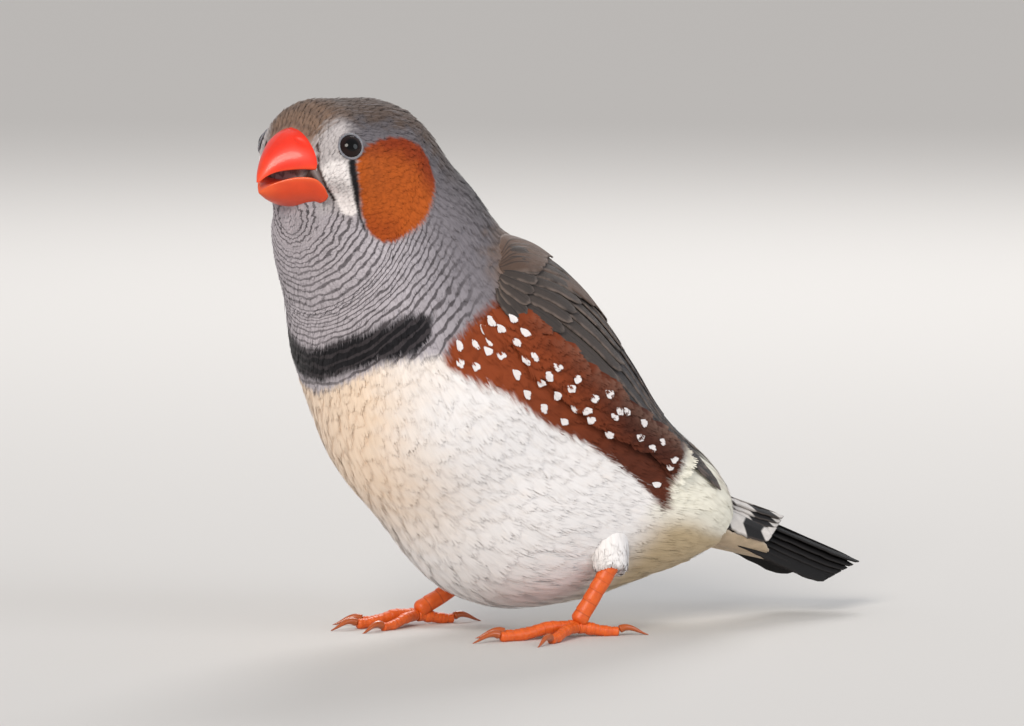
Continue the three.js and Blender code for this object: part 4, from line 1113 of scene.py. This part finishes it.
def hornMaterial(name, colour, pale, coat, roughness):
    # waxy horn: paler towards the tip and the cutting edge, faint growth streaks
    material, tree, shader = newMaterial(name, **{
        "Roughness": roughness, "Coat Weight": coat, "Coat Roughness": 0.12, "Subsurface Weight": 0.12,
        "Subsurface Radius": (0.9, 0.25, 0.1), "Subsurface Scale": 0.0008, "Specular IOR Level": 0.5,
    })
    barb, place = attribute(tree, "barb"), attribute(tree, "place")
    parts = addNode(tree, "ShaderNodeSeparateXYZ", {0: barb.outputs["Vector"]})
    noise = addNode(tree, "ShaderNodeTexNoise", {"Vector": place.outputs["Vector"], "Scale": 0.5, "Detail": 5.0})
    tip = softStep(tree, parts.outputs[1], 0.55, 1.0)
    share = math2(tree, "MAXIMUM", math2(tree, "MULTIPLY", tip, 0.6), math2(tree, "MULTIPLY", parts.outputs[2], 0.55))
    share = math2(tree, "MULTIPLY", share, math2(tree, "ADD", math2(tree, "MULTIPLY", noise.outputs[0], 0.8), 0.6), clamp=True)
    base = mixColour(tree, share, colour, pale)
    value = math2(tree, "ADD", math2(tree, "MULTIPLY", noise.outputs[0], 0.4), 0.8)
    base = addNode(tree, "ShaderNodeVectorMath", {0: base, 3: value}, operation="SCALE").outputs[0]
    tree.links.new(base, shader.inputs["Base Color"])
    relief = addNode(tree, "ShaderNodeBump", {"Height": noise.outputs[0], "Strength": 0.25, "Distance": 0.00008})
    tree.links.new(relief.outputs[0], shader.inputs["Normal"])
    return material


billRed = hornMaterial("billRed", (0.84, 0.024, 0.001, 1), (0.92, 0.10, 0.02, 1), 0.25, 0.42)
billOrange = hornMaterial("billOrange", (0.66, 0.048, 0.002, 1), (0.90, 0.15, 0.03, 1), 0.25, 0.42)


def closeGrid(points, startPoint, endPoint, flip=False):
    # triangles over a grid of rings closed round, each end drawn to a point
    rows, columns = points.shape[:2]
    quads = gridFaces(rows, columns, wrap=True)
    j = np.arange(columns)
    k = (j + 1) % columns
    first, last, base = rows * columns, rows * columns + 1, (rows - 1) * columns
    faces = np.concatenate([
        quads[:, [0, 1, 2]], quads[:, [0, 2, 3]],
        np.stack([np.full(columns, first), k, j], -1), np.stack([np.full(columns, last), base + j, base + k], -1),
    ])
    allPoints = np.concatenate([points.reshape(-1, 3), [startPoint, endPoint]])
    a, b, c = (allPoints[faces[:, i]] for i in range(3))
    if np.einsum("ij,ij->", a - allPoints.mean(0), np.cross(b - a, c - a)) < 0:
        faces = faces[:, ::-1]
    return allPoints, faces


def makeBill(name, half, material, node, jawDrop):
    # section between the top line and the lower line, widened by the half-width, carried from the face to the tip
    part = bill[half]
    rows, around = 70, 64
    t = np.linspace(0, 1, rows) ** 0.9
    line = alongCurve(np.concatenate([part["top"], part["edge"], np.array(part["half"])[:, None]], 1), t)
    section = alongCurve(part["section"], np.linspace(0, 1, around // 2 + 1))
    section[:, 1] = np.maximum(section[:, 1], 0)
    share = np.concatenate([section[:, 0], section[-2:0:-1, 0]])
    width = np.concatenate([section[:, 1], -section[-2:0:-1, 1]])
    x = mix(line[:, 2:3], line[:, 0:1], share[None])
    z = mix(line[:, 3:4], line[:, 1:2], share[None])
    y = width[None] * line[:, 4:5]
    if half == "upper":
        pit = bill["nostril"]
        near = np.exp(-(((x - pit["x"]) ** 2 + (z - pit["z"]) ** 2) / pit["radius"] ** 2) ** 1.5)
        y = y - np.sign(y) * near * pit["depth"]
    edgeShare = np.exp(-((share - part["section"][5 if half == "upper" else 2][0]) / 0.10) ** 2) * (np.abs(width) > 0.8)
    points = np.stack([x, y, z], -1)
    points = turnWithHead(points)
    barb = np.stack(np.broadcast_arrays(width[None], t[:, None], edgeShare[None]), -1)
    allPoints, faces = closeGrid(points, points[0].mean(0), points[-1].mean(0))
    barb = np.concatenate([barb.reshape(-1, 3), [[0, 0, 0], [0, 1, 0]]])
    piece = newPiece(name, allPoints, faces, {"barb": barb, "place": allPoints})
    return finishPiece(piece, material, "red_bill", node)


makeBill("billUpper", "upper", billRed, "bill_upper", 0)
makeBill("billLower", "lower", billOrange, "bill_lower", 0)

eyeLook = {"iris": (0.012, 0.004, 0.003), "pupil": (0.0015, 0.0012, 0.0015), "pupilAngle": 0.50,
           "lidRadius": 1.56, "lidThick": 0.16, "lidDrop": 0.05, "creases": 22, "wide": 0.97}


def eyeMaterial():
    material, tree, shader = newMaterial("eyeDark", **{"Roughness": 0.04, "IOR": 1.34})
    tone = attribute(tree, "tone")
    noise = addNode(tree, "ShaderNodeTexNoise", {"Scale": 2600.0, "Detail": 3.0})
    tree.links.new(addNode(tree, "ShaderNodeTexCoord").outputs["Object"], noise.inputs["Vector"])
    value = math2(tree, "ADD", math2(tree, "MULTIPLY", noise.outputs[0], 0.6), 0.7)
    colour = addNode(tree, "ShaderNodeVectorMath", {0: tone.outputs["Color"], 3: value}, operation="SCALE").outputs[0]
    tree.links.new(colour, shader.inputs["Base Color"])
    return material


def lidMaterial():
    material, tree, shader = newMaterial("lidSkin", **{"Roughness": 0.55, "Subsurface Weight": 0.1, "Subsurface Scale": 0.0004})
    noise = addNode(tree, "ShaderNodeTexNoise", {"Scale": 2200.0, "Detail": 5.0})
    tree.links.new(addNode(tree, "ShaderNodeTexCoord").outputs["Object"], noise.inputs["Vector"])
    colour = mixColour(tree, noise.outputs[0], (0.09, 0.085, 0.10, 1), (0.30, 0.30, 0.33, 1))
    tree.links.new(colour, shader.inputs["Base Color"])
    relief = addNode(tree, "ShaderNodeBump", {"Height": noise.outputs[0], "Strength": 0.5, "Distance": 0.00006})
    tree.links.new(relief.outputs[0], shader.inputs["Normal"])
    return material


eyeDark, lidSkin = eyeMaterial(), lidMaterial()


def makeEye(side, v):
    # ball about the look direction with a dark iris and pupil, and a creased rim of lid round the opening
    centre, outward = eyeCentre(v)
    level = unit(np.cross(outward, [0, 0, 1.0]))
    up = np.cross(level, outward)
    polar = np.linspace(0, np.pi, 42)[1:-1, None]
    angle = np.linspace(0, 2 * np.pi, 49)[None, :-1]
    direction = (np.cos(polar)[..., None] * outward + (np.sin(polar) * np.cos(angle))[..., None] * level
                 + (np.sin(polar) * np.sin(angle))[..., None] * up)
    points = centre + direction * eyeShape["radius"]
    allPoints, faces = closeGrid(points, centre + outward * eyeShape["radius"], centre - outward * eyeShape["radius"])
    pupil = smooth(eyeLook["pupilAngle"] + 0.05, eyeLook["pupilAngle"] - 0.02, np.append(
        np.broadcast_to(polar, (40, 48)).ravel(), [0, np.pi]))
    tone = mix(np.array(eyeLook["iris"]), np.array(eyeLook["pupil"]), pupil[:, None])
    ball = newPiece(f"eye{side}", allPoints, faces, {"tone": tone})
    finishPiece(ball, eyeDark, "eye", f"eye_{side.lower()}")
    sink = math.sqrt(eyeShape["radius"] ** 2 - eyeShape["opening"] ** 2)
    around = np.linspace(0, 2 * np.pi, 97)[:-1, None]
    section = np.linspace(0, 2 * np.pi, 17)[None, :-1]
    crease = 1 + 0.10 * np.sin(around * eyeLook["creases"]) + 0.05 * np.sin(around * 7 + 1)
    thick = eyeLook["lidThick"] * crease
    radius = eyeLook["lidRadius"] + thick * np.cos(section)
    lift = sink - eyeLook["lidDrop"] + thick * 0.9 * np.sin(section)
    wide = eyeLook["wide"]
    ring = (centre + (radius * np.cos(around) * wide)[..., None] * level
            + (radius * np.sin(around) / wide)[..., None] * up + lift[..., None] * outward)
    quads = gridFaces(96, 16, wrap=True)
    closing = np.stack([95 * 16 + np.arange(16), 95 * 16 + (np.arange(16) + 1) % 16,
                        (np.arange(16) + 1) % 16, np.arange(16)], -1)
    faces = np.concatenate([quads, closing])
    if (side == "Left") == (np.cross(ring[0, 1] - ring[0, 0], ring[1, 0] - ring[0, 0]) @ (ring[0, 0] - ring[0].mean(0)) < 0):
        faces = faces[:, ::-1]
    lid = newPiece(f"lid{side}", ring, faces)
    finishPiece(lid, lidSkin, "grey_plumage")


makeEye("Left", eyeShape["v"])
makeEye("Right", 1 - eyeShape["v"])
print("bill and eyes")

floorLevel = 0.8
legs = {
    "left": {
        "thigh": [(7.0, -8.0, 14.5), (5.9, -11.0, 9.9)],
        "shank": [(6.3, -10.9, 11.0), (5.6, -11.2, 9.6), (1.5, -10.0, 2.5)],
        "toes": [
            ([(1.5, -10.0, 1.3), (-2.6, -9.9, 1.35), (-6.4, -9.9, 0.70), (-9.8, -10.0, 0.60)], 0.86),
            ([(1.5, -10.0, 1.3), (-1.2, -12.0, 1.2), (-3.4, -13.7, 0.58), (-5.0, -14.9, 0.50)], 0.74),
            ([(1.5, -10.0, 1.3), (-2.0, -8.2, 1.2), (-4.9, -7.1, 0.54), (-7.2, -6.4, 0.46)], 0.70),
            ([(1.5, -10.0, 1.3), (3.3, -10.5, 1.0), (5.2, -11.0, 0.62), (6.9, -11.5, 0.54)], 0.80),
        ],
    },
    "right": {
        "thigh": [(4.5, 7.2, 12.0), (-2.2, 10.4, 7.4)],
        "shank": [(0.0, 10.2, 9.3), (-2.6, 10.5, 7.15), (-11.0, 11.0, 2.5)],
        "toes": [
            ([(-11.0, 11.0, 1.3), (-14.2, 11.0, 1.35), (-17.2, 10.8, 0.70), (-20.0, 10.5, 0.60)], 0.86),
            ([(-11.0, 11.0, 1.3), (-13.4, 12.7, 1.2), (-15.4, 13.7, 0.58), (-17.2, 14.4, 0.50)], 0.74),
            ([(-11.0, 11.0, 1.3), (-13.6, 9.0, 1.2), (-16.0, 7.9, 0.54), (-18.0, 7.1, 0.46)], 0.70),
            ([(-11.0, 11.0, 1.3), (-9.1, 10.9, 1.0), (-7.2, 10.8, 0.62), (-5.6, 10.7, 0.54)], 0.80),
        ],
    },
    "thighThick": (3.1, 1.9),
    "shankThick": (1.15, 0.98),
    "clawLength": 3.5,
    "clawThick": 0.5,
}


def limbGrid(path, thickness, rows, around, relief=None, floor=None):
    # rings along a path: level and upward directions across its axis, radius by thickness(t) and relief(t, angle)
    t = np.linspace(0, 1, rows)
    centre = alongCurve(path, t)
    axis = unit(np.gradient(centre, axis=0))
    whole = unit(np.array(path[-1]) - np.array(path[0]))
    level = np.cross(whole, [1.0, 0, 0] if abs(whole[2]) > 0.9 else [0, 0, 1.0])
    level = unit(np.cross(np.cross(axis, unit(level)), axis))
    up = np.cross(level, axis)
    up = np.where((up[:, 2:3] < 0) & (abs(whole[2]) <= 0.9), -up, up)
    angle = np.linspace(0, 2 * np.pi, around + 1)[:-1]
    radius = thickness(t)[:, None] * np.ones(around)
    if relief is not None:
        radius = radius + relief(t[:, None], angle[None, :])
    points = centre[:, None] + radius[..., None] * (np.cos(angle)[None, :, None] * level[:, None]
                                                    + np.sin(angle)[None, :, None] * up[:, None])
    if floor is not None:
        points[..., 2] = np.maximum(points[..., 2], floor)
    return points, centre, angle, t


def scaleRelief(count, depth):
    # overlapping scutes over the upper half of a limb, rising to each rear edge, with small pads below
    def relief(t, angle):
        upper = smooth(-0.2, 0.35, np.sin(angle))
        saw = np.mod(t * count, 1)
        step = saw**0.7 * smooth(1.0, 0.90, saw)
        pads = smooth(0.1, -0.5, np.sin(angle)) * np.abs(np.sin(t * np.pi * count * 0.5)) * 0.8
        return depth * (step * upper + pads)
    return relief


def legMaterial():
    # satin orange skin, paler on the scutes and darker between them
    material, tree, shader = newMaterial("legSkin", **{
        "Roughness": 0.48, "Subsurface Weight": 0.15, "Subsurface Radius": (0.9, 0.3, 0.1), "Subsurface Scale": 0.0006,
        "Coat Weight": 0.15, "Coat Roughness": 0.3,
    })
    barb, place = attribute(tree, "barb"), attribute(tree, "place")
    parts = addNode(tree, "ShaderNodeSeparateXYZ", {0: barb.outputs["Vector"]})
    noise = addNode(tree, "ShaderNodeTexNoise", {"Vector": place.outputs["Vector"], "Scale": 1.4, "Detail": 5.0})
    colour = mixColour(tree, noise.outputs[0], (0.55, 0.070, 0.004, 1), (0.85, 0.150, 0.012, 1))
    joint = softStep(tree, parts.outputs[2], 0.16, 0.0)
    colour = mixColour(tree, math2(tree, "MULTIPLY", joint, 0.55), colour, (0.30, 0.032, 0.003, 1))
    tree.links.new(colour, shader.inputs["Base Color"])
    cells = addNode(tree, "ShaderNodeTexVoronoi", {"Vector": place.outputs["Vector"], "Scale": 3.2}, feature="DISTANCE_TO_EDGE")
    relief = addNode(tree, "ShaderNodeBump", {"Height": cells.outputs[0], "Strength": 0.4, "Distance": 0.00012})
    tree.links.new(relief.outputs[0], shader.inputs["Normal"])
    return material


legSkin = legMaterial()
clawHorn = hornMaterial("clawHorn", (0.42, 0.085, 0.012, 1), (0.30, 0.07, 0.02, 1), 0.4, 0.3)


def joinGrids(parts):
    # several closed tubes as one set of points, faces and values
    points, faces, barbs, start = [], [], [], 0
    for grid, t, scutes in parts:
        allPoints, face = closeGrid(grid, grid[0].mean(0), grid[-1].mean(0))
        saw = np.mod(t * scutes, 1)
        barb = np.stack(np.broadcast_arrays(0.0, t[:, None], saw[:, None] * np.ones(grid.shape[1])), -1).reshape(-1, 3)
        points.append(allPoints)
        faces.append(face + start)
        barbs.append(np.concatenate([barb, [[0, 0, 0.5], [0, 1, 0.5]]]))
        start += len(allPoints)
    return np.concatenate(points), np.concatenate(faces), np.concatenate(barbs)


def roundEnds(t, share):
    # thickness share that closes a tube roundly at both ends
    return np.sqrt(np.clip(1 - np.clip(1 - t / share, 0, 1) ** 2, 0.02, 1)) * np.sqrt(
        np.clip(1 - np.clip((t - 1 + share) / share, 0, 1) ** 2, 0.02, 1))


def makeLeg(side):
    leg = legs[side]
    Side = side.capitalize()
    top, low = legs["shankThick"]
    grid, _, _, t = limbGrid(leg["shank"], lambda s: mix(top, low, s) * roundEnds(s, 0.05) * (1 + 0.12 * smooth(0.82, 1, s)),
                             90, 28, scaleRelief(11, 0.10))
    points, faces, barbs = joinGrids([(grid, t, 11)])
    piece = newPiece(f"shank{Side}", points, faces, {"barb": barbs, "place": points})
    finishPiece(piece, legSkin, "orange_leg", f"shank_{side}")
    parts = []
    floorZ = floorLevel
    for path, thick in leg["toes"]:
        path = np.array(path) + (0, 0, floorLevel)
        toe = lambda s, thick=thick: thick * (1 - 0.28 * s) * roundEnds(s, 0.07) * (1 + 0.07 * np.cos(6 * np.pi * s))
        grid, _, _, t = limbGrid(path, toe, 100, 24, scaleRelief(10, 0.09), floor=floorZ)
        parts.append((grid, t, 10))
    points, faces, barbs = joinGrids(parts)
    piece = newPiece(f"foot{Side}", points, faces, {"barb": barbs, "place": points})
    finishPiece(piece, legSkin, "orange_leg", f"foot_{side}")
    for (path, thick), toeName in zip(leg["toes"], ("middle", "outer", "inner", "hind")):
        end = np.array(path[-1]) + (0, 0, floorLevel)
        forward = unit((end - (0, 0, floorLevel) - np.array(path[-2])) * (1, 1, 0))
        start = end + forward * (thick * 0.22 - 0.2)
        s = np.linspace(0, 1, 7)
        claw = start + forward * (legs["clawLength"] + 0.45) * s[:, None]
        claw[:, 2] = start[2] + 0.85 * np.sin(np.pi * (s * 0.9 + 0.1)) * (1 - s) - 0.55 * s * s
        grid, _, _, t = limbGrid(claw, lambda q: legs["clawThick"] * 1.1 * (1 - 0.9 * q) * roundEnds(q, 0.04), 40, 16,
                                 floor=floorZ)
        points, faces, barbs = joinGrids([(grid, t, 1)])
        barbs[:, 2] = 0
        piece = newPiece(f"claw{Side}{toeName.capitalize()}", points, faces, {"barb": barbs, "place": points})
        finishPiece(piece, clawHorn, "claw", f"claw_{side}_{toeName}")


for side in ("left", "right"):
    makeLeg(side)


def makeThighTufts(side):
    # white feathers down the thigh, over the joint
    leg = legs[side]
    path = np.array(leg["thigh"], float)
    direction = unit(path[1] - path[0])
    path = np.array([path[0] - direction * 2, path[0], path[1], path[1] + direction * 0.4])
    thick = lambda s: np.interp(s, [0, 0.35, 0.9, 1], [legs["thighThick"][0] - 0.8, legs["thighThick"][0] - 0.6,
                                                       legs["thighThick"][1] - 0.55, 0.6])
    grid, _, _, t = limbGrid(path, thick, 40, 36)
    grid = np.concatenate([grid, grid[:, :1]], 1)
    surface = gridSurface(grid, True)
    if ((surface["normals"] * (grid - grid.mean(1, keepdims=True))).sum(-1).mean()) < 0:
        surface["normals"] = -surface["normals"]
    count = 420
    roots = np.stack([chance.uniform(0.05, 0.80, count), chance.uniform(0, 1, count)], -1)

    def values(u, v):
        n = len(u)
        return {
            "tone": np.tile(markings["belly"], (n, 1)), "marks": np.zeros((n, 3)), "place": np.stack([u * 10, v * 10, u], -1),
        }
    length = chance.uniform(2.6, 3.8, count)
    width = chance.uniform(1.1, 1.6, count)
    surfaceTufts(f"thighTufts{side.capitalize()}", surface, roots, length, width, 9, 3, chance.normal(0, 0.12, count),
                 np.full(count, -0.1), chance.uniform(0.25, 0.6, count), whitePlumage, "white_plumage",
                 (f"thigh_{side}",), values)


for side in ("left", "right"):
    makeThighTufts(side)
print("legs")

# Camera at the photo's angle: turned and raised about the bird, at a distance, for a 36 mm wide film
view = {"azimuth": -28.0, "elevation": 5.0, "distance": 900.0, "mmPerPixel": 0.13, "width": 1024, "height": 726,
        "origin": (530.0, 635.0), "film": 36.0}


def makeCamera():
    a, e = math.radians(view["azimuth"]), math.radians(view["elevation"])
    back = Vector((math.sin(a) * math.cos(e), -math.cos(a) * math.cos(e), math.sin(e)))
    right = Vector((math.cos(a), math.sin(a), 0))
    up = back.cross(right)
    aim = right * (view["width"] / 2 - view["origin"][0]) + up * (view["origin"][1] - view["height"] / 2)
    aim = (aim * view["mmPerPixel"] + Vector(frameShift)) * mm
    data = bpy.data.cameras.new("camera")
    data.sensor_width = view["film"]
    data.lens = view["film"] * view["distance"] / (view["width"] * view["mmPerPixel"])
    camera = bpy.data.objects.new("camera", data)
    camera.location = aim + back * view["distance"] * mm
    camera.rotation_euler = back.to_track_quat("Z", "Y").to_euler()
    bpy.context.collection.objects.link(camera)
    bpy.context.scene.camera = camera
    return aim


aim = makeCamera()

# Plain pale floor, a soft sun and soft lamps: place from the bird in metres, size, strength and colour
sun = {"place": (-0.62, -0.55, 0.50), "angle": 0.45, "strength": 2.1, "colour": (1.0, 0.94, 0.86)}
lights = {
    "fill": ((0.45, -0.75, 0.30), 0.60, 2.6, (0.88, 0.94, 1.0)),
    "rim": ((0.40, 0.60, 0.60), 0.40, 3.5, (1.0, 1.0, 1.0)),
}
key = bpy.data.objects.new("key", bpy.data.lights.new("key", "SUN"))
key.data.angle, key.data.energy, key.data.color = sun["angle"], sun["strength"], sun["colour"]
key.rotation_euler = Vector(sun["place"]).to_track_quat("Z", "Y").to_euler()
bpy.context.collection.objects.link(key)
for name, (place, size, strength, colour) in lights.items():
    data = bpy.data.lights.new(name, "AREA")
    data.shape, data.size, data.energy, data.color = "DISK", size, strength, colour
    lamp = bpy.data.objects.new(name, data)
    lamp.location = Vector(place) + aim
    lamp.rotation_euler = Vector(place).to_track_quat("Z", "Y").to_euler()
    bpy.context.collection.objects.link(lamp)

world = bpy.data.worlds.new("studio")
world.use_nodes = True
world.node_tree.nodes["Background"].inputs[0].default_value = (0.80, 0.82, 0.86, 1)
world.node_tree.nodes["Background"].inputs[1].default_value = 0.55
bpy.context.scene.world = world
bpy.context.scene.view_settings.view_transform = "Standard"


def makeFloor():
    radius = 6.0
    angle = np.linspace(0, 2 * np.pi, 97)[:-1]
    mesh = bpy.data.meshes.new("floor")
    mesh.from_pydata([(radius * math.cos(a), radius * math.sin(a), 0) for a in angle], [], [list(range(96))])
    floor = bpy.data.objects.new("floor", mesh)
    bpy.context.collection.objects.link(floor)
    material, tree, shader = newMaterial("paleFloor", **{"Roughness": 0.9, "Base Color": (0.62, 0.60, 0.58, 1)})
    mesh.materials.append(material)


makeFloor()
